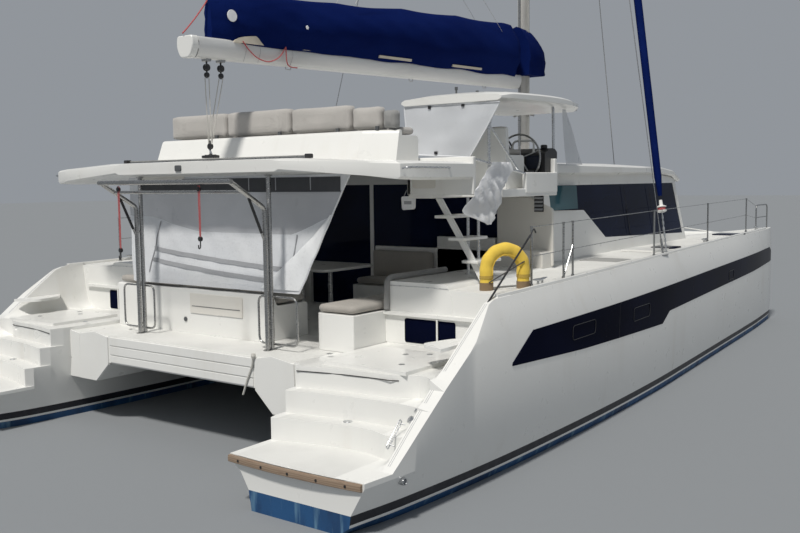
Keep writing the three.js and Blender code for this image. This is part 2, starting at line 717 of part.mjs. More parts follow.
const BACKREST_TOPS = [
  // y, z
  [LOUNGE_Y[1] - 60, 4030], [-700, 4015], [LOUNGE_Y[0] + 20, 3880],
];

function loungeCushion() {
  const low = LOUNGE_TOP_Z + GAP;
  const rings = BACKREST_TOPS.map(([y, top]) => [
    [-5139, low], [-4690, low], [-4690, 3745], [-4960, 3750], [-5000, top], [-5150, top],
  ].map(([x, z]) => [x, y, z]));
  return loft(rings)
    .add(block([-4700, RETURN_X + 10], [RETURN_Y[0] + 10, RETURN_Y[1] - 60], [low, 3745]));
}

// Cockpit seats, their cushions and the table
const BENCH_TOP_Z = 1600;
const BACK_TOP_Z = 1760;
const PAD = 110;

function aftBench() {
  const foot = SOLE_Z + GAP;
  const back = prism("y", [
    [-5700, foot], [-5700, BACK_TOP_Z], [-5580, BACK_TOP_Z], [-5500, BENCH_TOP_Z], [-4950, BENCH_TOP_Z],
    [-4950, foot],
  ], -760, 2100);
  return back.add(block([-4960, -2620], [1560, 2140], [foot, BENCH_TOP_Z]));
}

function aftCushion() {
  const low = BENCH_TOP_Z + GAP;
  const roll = BACK_TOP_Z + GAP;
  return prism("y", [
    [-5499.5, low], [-4960, low], [-4960, low + PAD], [-5460, low + PAD], [-5540, roll + PAD],
    [-5690, roll + PAD], [-5690, roll], [-5579.5, roll],
  ], -740, 2080)
    .add(block([-4970, -2640], [1570, 2120], [low, low + PAD]));
}

function foreBench() {
  const foot = SOLE_Z + GAP;
  const side = block([-5700, -2520], [-2140, -1560], [foot, BENCH_TOP_Z]);
  const front = block([-3120, -2520], [-1570, 0], [foot, BENCH_TOP_Z]);
  return join(
    side, front, block([-2600, -2520], [-2130, 0], [BENCH_TOP_Z - 10, 2140]),
    block([-2600, -2520], [-2130, -1160], [BENCH_TOP_Z - 10, 2310]),
  );
}

function foreCushion() {
  const low = BENCH_TOP_Z + GAP;
  const side = block([-5670, -2601], [-2120, -1570], [low, low + PAD]);
  const front = block([-3110, -2601], [-1580, -10], [low, low + PAD]);
  return join(side, front, block([-2720, -2601], [-1150, -10], [low + 50, 2090]));
}

function cockpitTable() {
  const legs = [-4050, -3450].map((x) => join(
    bar([x, 150, SOLE_Z + GAP], [x, 150, 1900], 38, 12),
    bar([x, 150, SOLE_Z + GAP], [x, 150, SOLE_Z + 20], 110, 16),
  ));
  return join(block([-4300, -3200], [-500, 900], [1890, 1930]), ...legs);
}

// The stainless frame on the aft beam: posts up to the hardtop, davit arms and hand hoops
const POST_X = -6000;
const POST_Y = 1160;
const POST_RADIUS = 28;
const DAVIT_X = -6600;
const DAVIT_Z = 3130;

function davitFrame() {
  const foot = SOLE_Z + GAP;
  const parts = [-1, 1].flatMap((side) => {
    const y = side * POST_Y;
    const second = POST_X - 75;
    const hoops = [1.35, 0.82].map((out) => tube([
      [POST_X, y, 1795], [POST_X, y * out, 1795], [POST_X, y * out, 1240], [POST_X, y, 1240],
    ], 13, 90, 6, 14));
    return [
      bar([POST_X, y, foot], [POST_X, y, roofUnder(POST_X + POST_RADIUS) - GAP], POST_RADIUS),
      tube([[second, y, foot], [second, y, 2820], [DAVIT_X, y, DAVIT_Z]], POST_RADIUS, 70),
      bar([POST_X, y, 1300], [second, y, 1300], 14, 6), bar([POST_X, y, 2500], [second, y, 2500], 14, 6),
      bar([second, y, 2420], [-6330, y, 2965], 14, 6),
      block([POST_X - 130, POST_X + 60], [y - 60, y + 60], [foot, foot + 12]),
      ...hoops,
    ];
  });
  const cross = bar([DAVIT_X, -POST_Y - 28, DAVIT_Z], [DAVIT_X, POST_Y + 28, DAVIT_Z], POST_RADIUS);
  const lower = bar([-6400, -POST_Y, 3012], [-6400, POST_Y, 3012], 20);
  return join(cross, lower, ...parts);
}

// Traveller on the hardtop's aft edge, and the mainsheet under the boom's end
const TRACK_X = -5820;
const TRACK_HALF = 1650;
const TRACK_TOP_Z = ROOF_TOP_Z + GAP + 38;
const SHEET_FOOT_Z = 3490;
const SHEET_BLOCKS = [-20, 210];

function travellerTrack() {
  return block([TRACK_X - 20, TRACK_X + 20], [-TRACK_HALF, TRACK_HALF], [ROOF_TOP_Z + GAP, TRACK_TOP_Z]);
}

function travellerCar() {
  const low = TRACK_TOP_Z + 0.5;
  return join(
    block([TRACK_X - 45, TRACK_X + 45], [-110, 110], [low, low + 38]),
    bar([TRACK_X, 0, low + 30], [TRACK_X, 0, low + 85], 30, 10),
  );
}

function mainsheet() {
  const top = boomUnder(TRACK_X) - GAP;
  const blocks = SHEET_BLOCKS.map((offset) => bar(
    [TRACK_X + offset - 25, 0, top - 110], [TRACK_X + offset + 25, 0, top - 110], 70, 12,
  ));
  const hangers = SHEET_BLOCKS.map((offset) => bar(
    [TRACK_X + offset, 0, top - 60], [TRACK_X + offset, 0, boomUnder(TRACK_X + offset) - GAP], 14, 6,
  ));
  const falls = SHEET_BLOCKS.flatMap((offset) => [-45, 45].map((y) => bar(
    [TRACK_X + offset, y, top - 120], [TRACK_X, y * 0.8, SHEET_FOOT_Z + 60], 7, 6,
  )));
  const footBlock = bar([TRACK_X - 30, 0, SHEET_FOOT_Z + 75], [TRACK_X + 30, 0, SHEET_FOOT_Z + 75], 50, 12);
  return join(...blocks, ...hangers, ...falls, footBlock);
}

// Boom, its sail bag, and the bib of the bag round the mast
const BOOM_END_X = -6180;
const BOOM_DEPTH = 250;

function boomUnder(x) {
  return 4790 + (x - GOOSENECK_X) * 0.0225;
}

function boom() {
  const ring = (x) => {
    const low = boomUnder(x);
    return [[x, -80, low], [x, -140, low + 130], [x, -125, low + BOOM_DEPTH], [x, 125, low + BOOM_DEPTH],
      [x, 140, low + 130], [x, 80, low]];
  };
  return loft([ring(BOOM_END_X), ring(GOOSENECK_X)]);
}

const BAG_SECTIONS = [
  // x, half-width at the foot, greatest half-width, half-width at the top, height over the boom
  [-5800, 120, 190, 60, 620],
  [-4500, 130, 260, 70, 800],
  [-1500, 135, 300, 80, 900],
  [1400, 130, 300, 80, 950],
];

function bagRing([x, foot, wide, crown, height]) {
  const low = boomUnder(x) + BOOM_DEPTH + 1;
  const half = [[foot, 0], [wide, 0.35], [wide * 0.85, 0.7], [crown, 1]];
  const starboard = half.map(([y, up]) => [x, -y, low + up * height]);
  const port = half.slice().reverse().map(([y, up]) => [x, y, low + up * height]);
  return [...starboard, ...port];
}

function sailBag() {
  return loft(BAG_SECTIONS.map(bagRing));
}

function bagBib() {
  const rings = [
    [1740, 250, 300, 80, 940], [2150, 240, 280, 70, 900], [2480, 180, 210, 50, 700], [2660, 60, 70, 20, 330],
  ].map((row) => bagRing(row));
  rings[3].forEach((p) => { p[2] += 160; });
  return loft(rings).subtract(prism("z", mastOutline(0.6), 4000, 7000));
}

// The mast with its spreaders, on its step on the roof
const MAST_FOOT_Z = ROOF_TOP_Z + GAP;
const SPREADERS = [
  // z, length, sweep aft
  [9200, 1150, 420], [14600, 950, 350],
];

function mastOutline(out = 0, sides = 16) {
  const outline = [];
  for (let i = 0; i < sides; i += 1) {
    const angle = (i / sides) * 2 * Math.PI;
    outline.push([
      MAST_X + (MAST_CHORD / 2 + out) * Math.cos(angle), (MAST_WIDTH / 2 + out) * Math.sin(angle),
    ]);
  }
  return outline;
}

function mast() {
  const arms = SPREADERS.flatMap(([z, length, sweep]) => [-1, 1].map((side) => bar(
    [MAST_X, 0, z], [MAST_X - sweep, side * length, z + 60], 34, 8, 20,
  )));
  const step = block([MAST_X - 200, MAST_X + 200], [-150, 150], [MAST_FOOT_Z, MAST_FOOT_Z + 40]);
  const lug = block([GOOSENECK_X - 60, MAST_X - 90], [-60, 60], [4740, boomUnder(GOOSENECK_X - 60) - 0.85]);
  const crane = block([MAST_X - 330, MAST_X + 220], [-40, 40], [MASTHEAD_Z - 60, MASTHEAD_Z + 20]);
  return join(prism("z", mastOutline(), MAST_FOOT_Z, MASTHEAD_Z), step, lug, crane, ...arms);
}

// Standing rigging
const WIRE_RADIUS = 8;
const CHAINPLATE_Z = 1965;
const BEAM_Z = 1830;
const STRIKER = 400;
const STAY_FOOT_Z = BEAM_Z + STRIKER + 5.2;

function shroud() {
  const plate = block(
    [SHROUD_X - 45, SHROUD_X + 45], [-SHROUD_Y - 8, -SHROUD_Y + 8], [deckZ(SHROUD_X) + 0.5, 2060],
  );
  const top = [MAST_X, -MAST_WIDTH / 2 - WIRE_RADIUS - 1.4, HOUNDS_Z];
  return join(plate, bar([SHROUD_X, -SHROUD_Y, 2040], [SHROUD_X + 6, -SHROUD_Y + 9, 2240], 16),
    bar([SHROUD_X, -SHROUD_Y, 2040], top, WIRE_RADIUS, 6));
}

function deckZ(x) {
  return between(HULL_SECTIONS, x)[8];
}

function forestay() {
  const head = [MAST_X + MAST_CHORD / 2 + WIRE_RADIUS + 0.6, 0, HOUNDS_Z + 500];
  return join(
    bar([FOREBEAM_X, 0, STAY_FOOT_Z], head, WIRE_RADIUS, 6),
    bar([FOREBEAM_X, 0, STAY_FOOT_Z], [FOREBEAM_X - 57, 0, STAY_FOOT_Z + 240], 20),
  );
}

// A light headsail, furled in its cover and set up along the starboard shroud
const FURLED_TACK = [SHROUD_X + 160, -SHROUD_Y + 10, 2000];
const FURLED_HEAD = [MAST_X + 150, -40 - 16, MASTHEAD_Z - 40];

function furledSail() {
  const tack = new THREE.Vector3(...FURLED_TACK);
  const head = new THREE.Vector3(...FURLED_HEAD);
  const along = (share) => tack.clone().lerp(head, share).toArray();
  const plate = block(
    [FURLED_TACK[0] - 45, FURLED_TACK[0] + 45], [FURLED_TACK[1] - 8, FURLED_TACK[1] + 8],
    [deckZ(FURLED_TACK[0]) + 0.5, 2060],
  );
  return join(
    plate, bar(FURLED_TACK, along(0.04), 14), bar(along(0.034), along(0.04), 75, 12),
    bar(along(0.039), along(0.055), 30, 10, 55), bar(along(0.0545), along(0.5), 55, 10, 78),
    bar(along(0.499), along(0.97), 78, 10, 40), bar(along(0.96), along(1), 14),
  );
}

// Forward beam with its striker, the spar from the foredeck to it, and the nets
const BEAM_RADIUS = 115;

function foreBeam() {
  const beam = bar([FOREBEAM_X, -HULL_Y, BEAM_Z], [FOREBEAM_X, HULL_Y, BEAM_Z], BEAM_RADIUS, 14);
  const post = bar([FOREBEAM_X, 0, BEAM_Z], [FOREBEAM_X, 0, BEAM_Z + STRIKER], 34);
  const wires = [-1, 1].map((side) => bar(
    [FOREBEAM_X, side * 2500, BEAM_Z + 60], [FOREBEAM_X, 0, BEAM_Z + STRIKER - 15], 12,
  ));
  const hull = hullSkin(GAP);
  const spar = bar([FOREDECK_X + GAP, 0, BEAM_Z - 30], [FOREBEAM_X + 60, 0, BEAM_Z - 30], 75, 12);
  return join(beam, spar, post, ...wires).subtract(hull).subtract(solid(mirrored(shell(hull))));
}

const NET_Z = 1830;
const NET_THICK = 12;

function net() {
  const hull = hullSkin(GAP);
  const beam = bar([FOREBEAM_X, -HULL_Y, BEAM_Z], [FOREBEAM_X, HULL_Y, BEAM_Z], BEAM_RADIUS + GAP, 14);
  const spar = bar([FOREDECK_X, 0, BEAM_Z - 30], [FOREBEAM_X + 60, 0, BEAM_Z - 30], 75 + GAP, 12);
  return block([FOREDECK_X + GAP, FOREBEAM_X - 20], [-HULL_Y, -40], [NET_Z, NET_Z + NET_THICK])
    .subtract(hull).subtract(beam).subtract(spar);
}

// Stanchions and lifelines, with the pulpit at the bow
const RAIL_INSET = 100;
const STANCHION_XS = [-4450, -3630, -3370, -380, 2700, 5800];
const RAIL_HEIGHT = 690;
const PULPIT_X = [6700, 7500];

function railY(x) {
  return -HULL_Y - Math.max(between(HULL_SECTIONS, x)[1] - CHAMFER - RAIL_INSET, 0);
}

function guardRail() {
  const foot = (x) => [x, railY(x), deckZ(x) + 6];
  const at = (x, up) => [x, railY(x), deckZ(x) + up];
  const posts = STANCHION_XS.map((x) => bar(foot(x), at(x, RAIL_HEIGHT), 13, 6));
  const feet = STANCHION_XS.map((x) => bar([x, railY(x), deckZ(x) + 1], [x, railY(x), deckZ(x) + 40], 30, 8));
  const lines = [];
  for (let i = 0; i < STANCHION_XS.length - 1; i += 1) {
    const [from, to] = [STANCHION_XS[i], STANCHION_XS[i + 1]];
    lines.push(bar(at(from, 680), at(to, 680), 5, 6), bar(at(from, 350), at(to, 350), 5, 6));
  }
  const last = STANCHION_XS[STANCHION_XS.length - 1];
  const [aft, fore] = PULPIT_X;
  lines.push(bar(at(last, 680), at(aft, 500), 5, 6), bar(at(last, 350), at(aft, 250), 5, 6));
  const pulpit = tube([at(aft, 6), at(aft, 520), at(fore, 520), at(fore, 6)], 14, 100, 8, 14);
  const mid = bar(at(aft, 260), at(fore, 260), 10, 6);
  return join(...posts, ...feet, ...lines, pulpit, mid);
}

// Lids and hatches lie on the deck and hinge at their forward edge
const ENGINE_LID = { x: [-6530, -5500], y: [-3480, -2420], thick: 36 };
const BOW_HATCH = { x: [250, 850], y: [-3300, -2750], thick: 28 };

function lid({ x, y, thick }, z) {
  return block(x, y, [z + 0.5, z + 0.5 + thick]);
}

// Cloth and loose fittings
const CURTAIN_X = -5700 - GAP;

function cockpitCurtain() {
  const top = roofUnder(CURTAIN_X) - GAP;
  const outline = [[1760, top], [1740, 1800], [-1340, 1800], [-2150, top]];
  return prism("x", outline, CURTAIN_X - 15, CURTAIN_X);
}

function helmCurtain() {
  const top = BIMINI_UNDER_Z - GAP;
  const outline = [[-1600, top], [-3020, top], [-2620, 3420], [-1660, 3440]];
  return prism("x", outline, -3975, -3960);
}

function helmCover() {
  const outline = [
    [-4900, 2780], [-4450, 2740], [-4320, 2580], [-4060, 2870], [-4050, 2990], [-3800, 3210], [-3830, 3310],
    [-4270, 3310],
  ];
  return prism("y", outline, -3120, HELM_WELL.y[0] - GAP);
}

const BUOY = { post: STANCHION_XS[0], z: 2118, radius: 222, pad: 70 };
const BUOY_STAND = BUOY.radius + BUOY.pad + 30.5;
const BUOY_LEG = BUOY.z - deckZ(BUOY.post);

// A horseshoe lifebuoy about its arch's centre, its legs on the deck, facing aft and outboard
function lifebuoy() {
  const spots = [[-BUOY.radius, -BUOY_LEG]];
  for (let i = 0; i <= 12; i += 1) {
    const angle = (1 - i / 12) * Math.PI;
    spots.push([BUOY.radius * Math.cos(angle), BUOY.radius * Math.sin(angle)]);
  }
  spots.push([BUOY.radius, -BUOY_LEG]);
  const route = new THREE.CurvePath();
  const points = spots.map(([across, z]) => new THREE.Vector3(across * 0.8, -across * 0.6, z));
  for (let i = 1; i < points.length; i += 1) route.add(new THREE.LineCurve3(points[i - 1], points[i]));
  const section = new THREE.Shape();
  section.absarc(0, 0, BUOY.pad, 0, 2 * Math.PI);
  return solid(new THREE.ExtrudeGeometry(section, {
    steps: 26, curveSegments: 5, extrudePath: route, bevelEnabled: false,
  }));
}

placePair("hull", hullStarboard(), WHITE);
placePair("hull_window", windowBand(), NAVY_GLASS);
placePair("propeller", propeller(), BRONZE, [PROPELLER_X, -HULL_Y, DRIVE_Z]);
placePair("rudder", rudder(), BLUE, [RUDDER_X, -HULL_Y, 0]);
place("bridgedeck", bridgedeck(), WHITE);
place("cabin", cabin(), WHITE);
placePair("cabin_glass", paneSheet().intersect(sideWindow(0.5)), NAVY_GLASS);
place("windscreen", paneSheet().intersect(frontWindow(0.5)), NAVY_GLASS);
place("aft_glass", aftGlass(), NAVY_GLASS);
place("saloon_door", saloonDoor(), NAVY_GLASS);
place("hardtop", roof(), WHITE);
place("helm_pod", helmPod(), WHITE);
place("helm_console", helmConsole(), BLACK);
place("helm_wheel", helmWheel(), STEEL, [WHEEL_X, WHEEL.y, WHEEL.z]);
place("helm_seat", helmSeat(), WHITE);
place("helm_cushion", helmCushion(), BEIGE);
place("helm_steps", helmSteps(), WHITE);
place("helm_bimini", bimini(), WHITE);
place("helm_curtain", helmCurtain(), CURTAIN);
place("helm_cover", helmCover(), SILVER_CLOTH);
place("lounge_base", loungeBase(), WHITE);
place("lounge_cushion", loungeCushion(), BEIGE);
place("aft_bench", aftBench(), WHITE);
place("aft_cushion", aftCushion(), BEIGE);
place("fore_bench", foreBench(), WHITE);
place("fore_cushion", foreCushion(), BEIGE);
place("cockpit_table", cockpitTable(), WHITE);
place("cockpit_curtain", cockpitCurtain(), CURTAIN);
place("davit_frame", davitFrame(), STEEL);
place("traveller_track", travellerTrack(), BLACK);
place("traveller_car", travellerCar(), BLACK);
place("mainsheet", mainsheet(), BLACK);
place("boom", boom(), ALLOY);
place("sail_bag", sailBag(), NAVY_CLOTH);
place("sail_bag_bib", bagBib(), NAVY_CLOTH);
place("mast", mast(), ALLOY);
placePair("shroud", shroud(), STEEL);
place("forestay", forestay(), STEEL);
place("furled_sail", furledSail(), NAVY_CLOTH);
place("fore_beam", foreBeam(), ALLOY);
placePair("net", net(), NET);
placePair("guard_rail", guardRail(), STEEL);
placePair("engine_lid", lid(ENGINE_LID, AFT_DECK_Z), WHITE);
placePair("bow_hatch", lid(BOW_HATCH, deckZ(BOW_HATCH.x[1])), NAVY_GLASS);
place("lifebuoy", lifebuoy(), YELLOW, [
  BUOY.post - 0.8 * BUOY_STAND, railY(BUOY.post) + 0.6 * BUOY_STAND, BUOY.z,
]);

export default model;
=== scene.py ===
import math

import bmesh
import bpy
from mathutils import Matrix, Vector, noise


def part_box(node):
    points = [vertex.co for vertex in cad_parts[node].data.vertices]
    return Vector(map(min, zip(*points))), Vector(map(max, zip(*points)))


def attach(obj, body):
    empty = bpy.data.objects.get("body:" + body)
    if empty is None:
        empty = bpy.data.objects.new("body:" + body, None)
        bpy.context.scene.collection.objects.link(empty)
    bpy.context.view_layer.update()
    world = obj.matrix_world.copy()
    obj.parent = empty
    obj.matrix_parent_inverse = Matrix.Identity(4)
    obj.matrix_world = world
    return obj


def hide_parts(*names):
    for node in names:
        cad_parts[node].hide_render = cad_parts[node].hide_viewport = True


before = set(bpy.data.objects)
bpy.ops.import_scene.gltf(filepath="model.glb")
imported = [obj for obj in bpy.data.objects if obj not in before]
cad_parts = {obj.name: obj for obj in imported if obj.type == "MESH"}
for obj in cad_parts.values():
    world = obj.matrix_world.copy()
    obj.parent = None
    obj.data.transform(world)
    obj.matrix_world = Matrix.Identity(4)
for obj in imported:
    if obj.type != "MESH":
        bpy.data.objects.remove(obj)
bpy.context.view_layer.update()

# The looks of a 15.4 m cruising sailing catamaran, in metres: +X bow, +Y port, +Z up, water at Z 0.

# Driving sizes, as in the solids
HULL_Y = 2.98
PLATFORM_Z = 0.52
STEP_RISE = 0.235
AFT_DECK_Z = 1.22
SOLE_Z = 1.17
ROOF_TOP_Z = 3.38
AFT_BEAM_X = -6.45
ISLAND_X = -5.1
BULKHEAD_X = -2.5
SOLE_TOP_Z = 1.171
SEAT_Z = 1.6
PAD_FOOT_Z = 1.603
PAD_TOP_Z = 1.71
MAST_X = 2.0
GOOSENECK_X = 1.7
BOOM_END_X = -6.18
BOOM_DEPTH = 0.25
TRACK_X = -5.82
STARBOARD = -1
PORT = 1
SIDES = (STARBOARD, PORT)
UP = Vector((0, 0, 1))

CAMERA_SPOT = (-13.732, -8.815, 3.107)
CAMERA_YAW = math.radians(36.8)
CAMERA_PITCH = math.radians(-5.2)
CAMERA_ROLL = math.radians(-0.71)
CAMERA_LENS = 42.1
SENSOR_WIDTH = 36
CLIP_END = 500

SKY_COLOR = (0.86, 0.92, 1.0, 1)
SKY_STRENGTH = 0.33
SUN_COLOR = (1.0, 0.965, 0.91)
SUN_STRENGTH = 3.05
SUN_WIDTH = math.radians(6)
SUN_FROM = (-0.52, -0.11, 0.85)
FLOOR_COLOR = (0.235, 0.25, 0.265)
FLOOR_REACH = 150


# Node materials
class Finish:
    """A material whose colour, roughness and bump vary over the surface by procedural textures."""

    def __init__(self, name, color, roughness, metallic=0.0, **sockets):
        self.material = bpy.data.materials.new(name)
        self.material.use_nodes = True
        self.tree = self.material.node_tree
        self.shader = self.tree.nodes["Principled BSDF"]
        self.color = (*color, 1.0)
        self.roughness = roughness
        self.shader.inputs["Base Color"].default_value = self.color
        self.shader.inputs["Roughness"].default_value = roughness
        self.shader.inputs["Metallic"].default_value = metallic
        for socket, value in sockets.items():
            self.shader.inputs[socket.replace("_", " ")].default_value = value
        self.place = self.node("ShaderNodeTexCoord").outputs["Object"]
        self.tinted = None
        self.relief = None

    def node(self, kind, **values):
        made = self.tree.nodes.new(kind)
        for name, value in values.items():
            socket = name.replace("_", " ")
            if socket in made.inputs:
                made.inputs[socket].default_value = value
            else:
                setattr(made, name, value)
        return made

    def link(self, source, target):
        self.tree.links.new(source, target)

    def stretched(self, stretch):
        mapping = self.node("ShaderNodeMapping", Scale=stretch)
        self.link(self.place, mapping.inputs["Vector"])
        return mapping.outputs["Vector"]

    def noise(self, scale, detail=4.0, stretch=(1, 1, 1)):
        texture = self.node("ShaderNodeTexNoise", Scale=scale, Detail=detail)
        self.link(self.stretched(stretch), texture.inputs["Vector"])
        return texture.outputs["Fac"]

    def waves(self, scale, direction, distortion=0.0, stretch=(1, 1, 1)):
        texture = self.node("ShaderNodeTexWave", Scale=scale, Distortion=distortion)
        texture.bands_direction = direction
        self.link(self.stretched(stretch), texture.inputs["Vector"])
        return texture.outputs["Fac"]

    def spread(self, factor, low, high):
        """A factor drawn out so that low gives 0 and high gives 1."""
        ramp = self.node("ShaderNodeMapRange", From_Min=low, From_Max=high)
        self.link(factor, ramp.inputs["Value"])
        return ramp.outputs["Result"]

    def multiplied(self, one, other):
        product = self.node("ShaderNodeMath", operation="MULTIPLY")
        self.link(one, product.inputs[0])
        self.link(other, product.inputs[1])
        return product.outputs["Value"]

    def tint(self, factor, color):
        """Mixes a second colour in where the factor is high."""
        mix = self.node("ShaderNodeMix", data_type="RGBA")
        self.link(factor, mix.inputs["Factor"])
        if self.tinted:
            self.link(self.tinted, mix.inputs[6])
        else:
            mix.inputs[6].default_value = self.color
        mix.inputs[7].default_value = (*color, 1.0)
        self.tinted = mix.outputs[2]
        self.link(self.tinted, self.shader.inputs["Base Color"])

    def stain(self, scale, detail, low, high, color, stretch=(1, 1, 1)):
        """Mixes a second colour in where noise is high."""
        self.tint(self.spread(self.noise(scale, detail, stretch), low, high), color)

    def rough(self, scale, detail, low, high, stretch=(1, 1, 1)):
        """Lets noise set the roughness between low and high."""
        ramp = self.node("ShaderNodeMapRange", To_Min=low, To_Max=high)
        self.link(self.noise(scale, detail, stretch), ramp.inputs["Value"])
        self.link(ramp.outputs["Result"], self.shader.inputs["Roughness"])

    def bump(self, height, distance, strength=1.0):
        made = self.node("ShaderNodeBump", Distance=distance, Strength=strength)
        self.link(height, made.inputs["Height"])
        if self.relief:
            self.link(self.relief, made.inputs["Normal"])
        self.relief = made.outputs["Normal"]
        self.link(self.relief, self.shader.inputs["Normal"])

    def weave(self, pitch, distance, strength=0.5):
        """Two sets of threads at right angles, a pitch apart."""
        across = self.waves(0.5 / pitch, "X")
        along = self.waves(0.5 / pitch, "Z")
        self.bump(self.multiplied(across, along), distance, strength)


def shade(color, share):
    """A darker colour, or a lighter one for a share over 1."""
    return [min(c * share, 1.0) for c in color]


def gelcoat(name, color, dirt=0.35):
    made = Finish(name, color, 0.28, Coat_Weight=0.25, Coat_Roughness=0.12)
    grime = made.spread(made.noise(0.9, 8.0), 0.45, 0.8)
    streak = made.spread(made.noise(3.0, 5.0, (1.4, 1.4, 0.12)), 0.5, 0.85)
    stain = [c * k for c, k in zip(color, (0.84, 0.81, 0.76))]
    made.tint(grime, shade(color, 1 - 0.09 * dirt))
    made.tint(made.multiplied(streak, grime), stain)
    made.rough(5.0, 6.0, 0.2, 0.42)
    made.bump(made.noise(35.0, 2.0), 0.002, 0.12)
    return made.material


def nonskid(name, color):
    made = Finish(name, color, 0.6)
    grid = made.multiplied(made.waves(55.0, "X"), made.waves(55.0, "Y"))
    made.stain(1.6, 7.0, 0.42, 0.8, shade(color, 0.87))
    made.rough(4.0, 4.0, 0.5, 0.75)
    made.bump(grid, 0.003, 0.5)
    return made.material


def tinted_glass(name, color, specular):
    made = Finish(name, color, 0.04, Specular_IOR_Level=specular)
    made.stain(0.7, 2.0, 0.35, 0.75, shade(color, 2.1), (1, 1, 2))
    made.rough(3.0, 5.0, 0.02, 0.1)
    made.bump(made.noise(1.2, 1.0), 0.01, 0.05)
    return made.material


def steel(name, color=(0.63, 0.64, 0.65)):
    made = Finish(name, color, 0.16, 1.0)
    made.rough(18.0, 6.0, 0.17, 0.4, (1, 1, 6))
    made.stain(2.5, 6.0, 0.55, 0.85, shade(color, 0.72))
    made.bump(made.noise(300.0, 2.0, (1, 1, 12)), 0.0005, 0.2)
    return made.material


def spar(name, color):
    made = Finish(name, color, 0.4, 0.25)
    made.stain(1.3, 8.0, 0.45, 0.75, shade(color, 0.8), (0.5, 2, 2))
    made.rough(7.0, 5.0, 0.3, 0.55)
    made.bump(made.noise(60.0, 3.0), 0.001, 0.2)
    return made.material


def upholstery(name, color):
    made = Finish(name, color, 0.75, Sheen_Weight=0.25, Sheen_Roughness=0.5)
    made.stain(2.2, 8.0, 0.4, 0.75, shade(color, 0.82))
    made.stain(70.0, 3.0, 0.5, 0.8, shade(color, 0.9))
    made.rough(6.0, 4.0, 0.65, 0.85)
    made.weave(0.004, 0.0015, 0.5)
    made.bump(made.noise(14.0, 4.0), 0.004, 0.35)
    return made.material


def canvas(name, color, fade, sheen=0.15, shine=0.5):
    made = Finish(name, color, 0.82, Sheen_Weight=sheen, Sheen_Roughness=0.6, Specular_IOR_Level=shine)
    made.stain(1.1, 7.0, 0.42, 0.8, fade, (0.6, 1, 1.5))
    made.stain(28.0, 4.0, 0.55, 0.9, shade(color, 0.85))
    made.rough(5.0, 4.0, 0.72, 0.92)
    made.weave(0.003, 0.001, 0.4)
    made.bump(made.noise(9.0, 6.0), 0.012, 0.4)
    return made.material


def vinyl(name, color, alpha):
    made = Finish(name, color, 0.3, Alpha=alpha, Specular_IOR_Level=0.4)
    made.stain(1.8, 5.0, 0.4, 0.8, shade(color, 1.12))
    made.rough(4.0, 5.0, 0.18, 0.45)
    made.bump(made.noise(5.0, 4.0, (1, 1, 0.6)), 0.012, 0.5)
    return made.material


def plastic(name, color, roughness=0.4):
    made = Finish(name, color, roughness)
    made.stain(9.0, 5.0, 0.5, 0.8, [min(c * 1.35 + 0.01, 1.0) for c in color])
    made.rough(14.0, 5.0, roughness * 0.75, min(roughness * 1.3, 1.0))
    made.bump(made.noise(120.0, 2.0), 0.0006, 0.3)
    return made.material


def rope_finish(name, color, fleck):
    made = Finish(name, color, 0.85, Sheen_Weight=0.2)
    braid = made.multiplied(made.waves(45.0, "DIAGONAL"), made.waves(60.0, "Z"))
    made.tint(made.spread(braid, 0.35, 0.7), fleck)
    made.rough(30.0, 3.0, 0.75, 0.95)
    made.bump(braid, 0.002, 0.7)
    return made.material


def teak(name):
    made = Finish(name, (0.235, 0.165, 0.115), 0.66)
    grain = made.waves(16.0, "Z", 5.0, (1, 0.25, 1))
    made.tint(made.spread(grain, 0.35, 0.9), (0.31, 0.235, 0.17))
    made.stain(6.0, 8.0, 0.5, 0.75, (0.33, 0.29, 0.245), (1, 0.3, 1))
    made.stain(90.0, 4.0, 0.6, 0.8, (0.14, 0.09, 0.06), (1, 0.05, 1))
    made.rough(20.0, 4.0, 0.5, 0.8)
    made.bump(made.noise(70.0, 5.0, (1, 0.08, 1)), 0.002, 0.6)
    return made.material


def bottom_paint(name):
    made = Finish(name, (0.012, 0.075, 0.20), 0.6)
    made.stain(3.0, 9.0, 0.45, 0.7, (0.006, 0.03, 0.09), (1, 1, 0.35))
    made.stain(9.0, 8.0, 0.55, 0.75, (0.14, 0.27, 0.38), (1, 1, 0.16))
    made.rough(9.0, 5.0, 0.45, 0.8)
    made.bump(made.noise(25.0, 7.0), 0.004, 0.5)
    return made.material


WHITE = gelcoat("white_gelcoat", (0.80, 0.80, 0.775))
LINER = gelcoat("moulded_liner", (0.72, 0.70, 0.65), 0.8)
DECK = nonskid("nonskid_deck", (0.74, 0.74, 0.715))
GREY_DECK = nonskid("grey_deck_patch", (0.36, 0.36, 0.35))
GLASS = tinted_glass("tinted_glass", (0.002, 0.003, 0.012), 0.008)
PANE = tinted_glass("saloon_pane", (0.004, 0.007, 0.022), 0.06)
STEEL = steel("polished_stainless")
DARK_STEEL = steel("weathered_stainless", (0.40, 0.40, 0.395))
SPAR = spar("painted_spar", (0.56, 0.545, 0.51))
BOOM_PAINT = spar("boom_paint", (0.74, 0.74, 0.73))
TEAL = tinted_glass("teal_pane", (0.035, 0.085, 0.10), 0.3)
CUSHION = upholstery("beige_grey_cushion", (0.40, 0.375, 0.34))
PALE_CUSHION = upholstery("pale_beige_cushion", (0.47, 0.45, 0.425))
DARK_CUSHION = upholstery("grey_piping_pad", (0.27, 0.27, 0.265))
NAVY = canvas("navy_canvas", (0.0028, 0.009, 0.070), (0.005, 0.015, 0.10), 0.0, 0.02)
SILVER = canvas("silver_cover_cloth", (0.78, 0.79, 0.81), (0.84, 0.85, 0.86), 0.3)
WHITE_CLOTH = canvas("white_curtain_cloth", (0.70, 0.72, 0.75), (0.76, 0.77, 0.78))
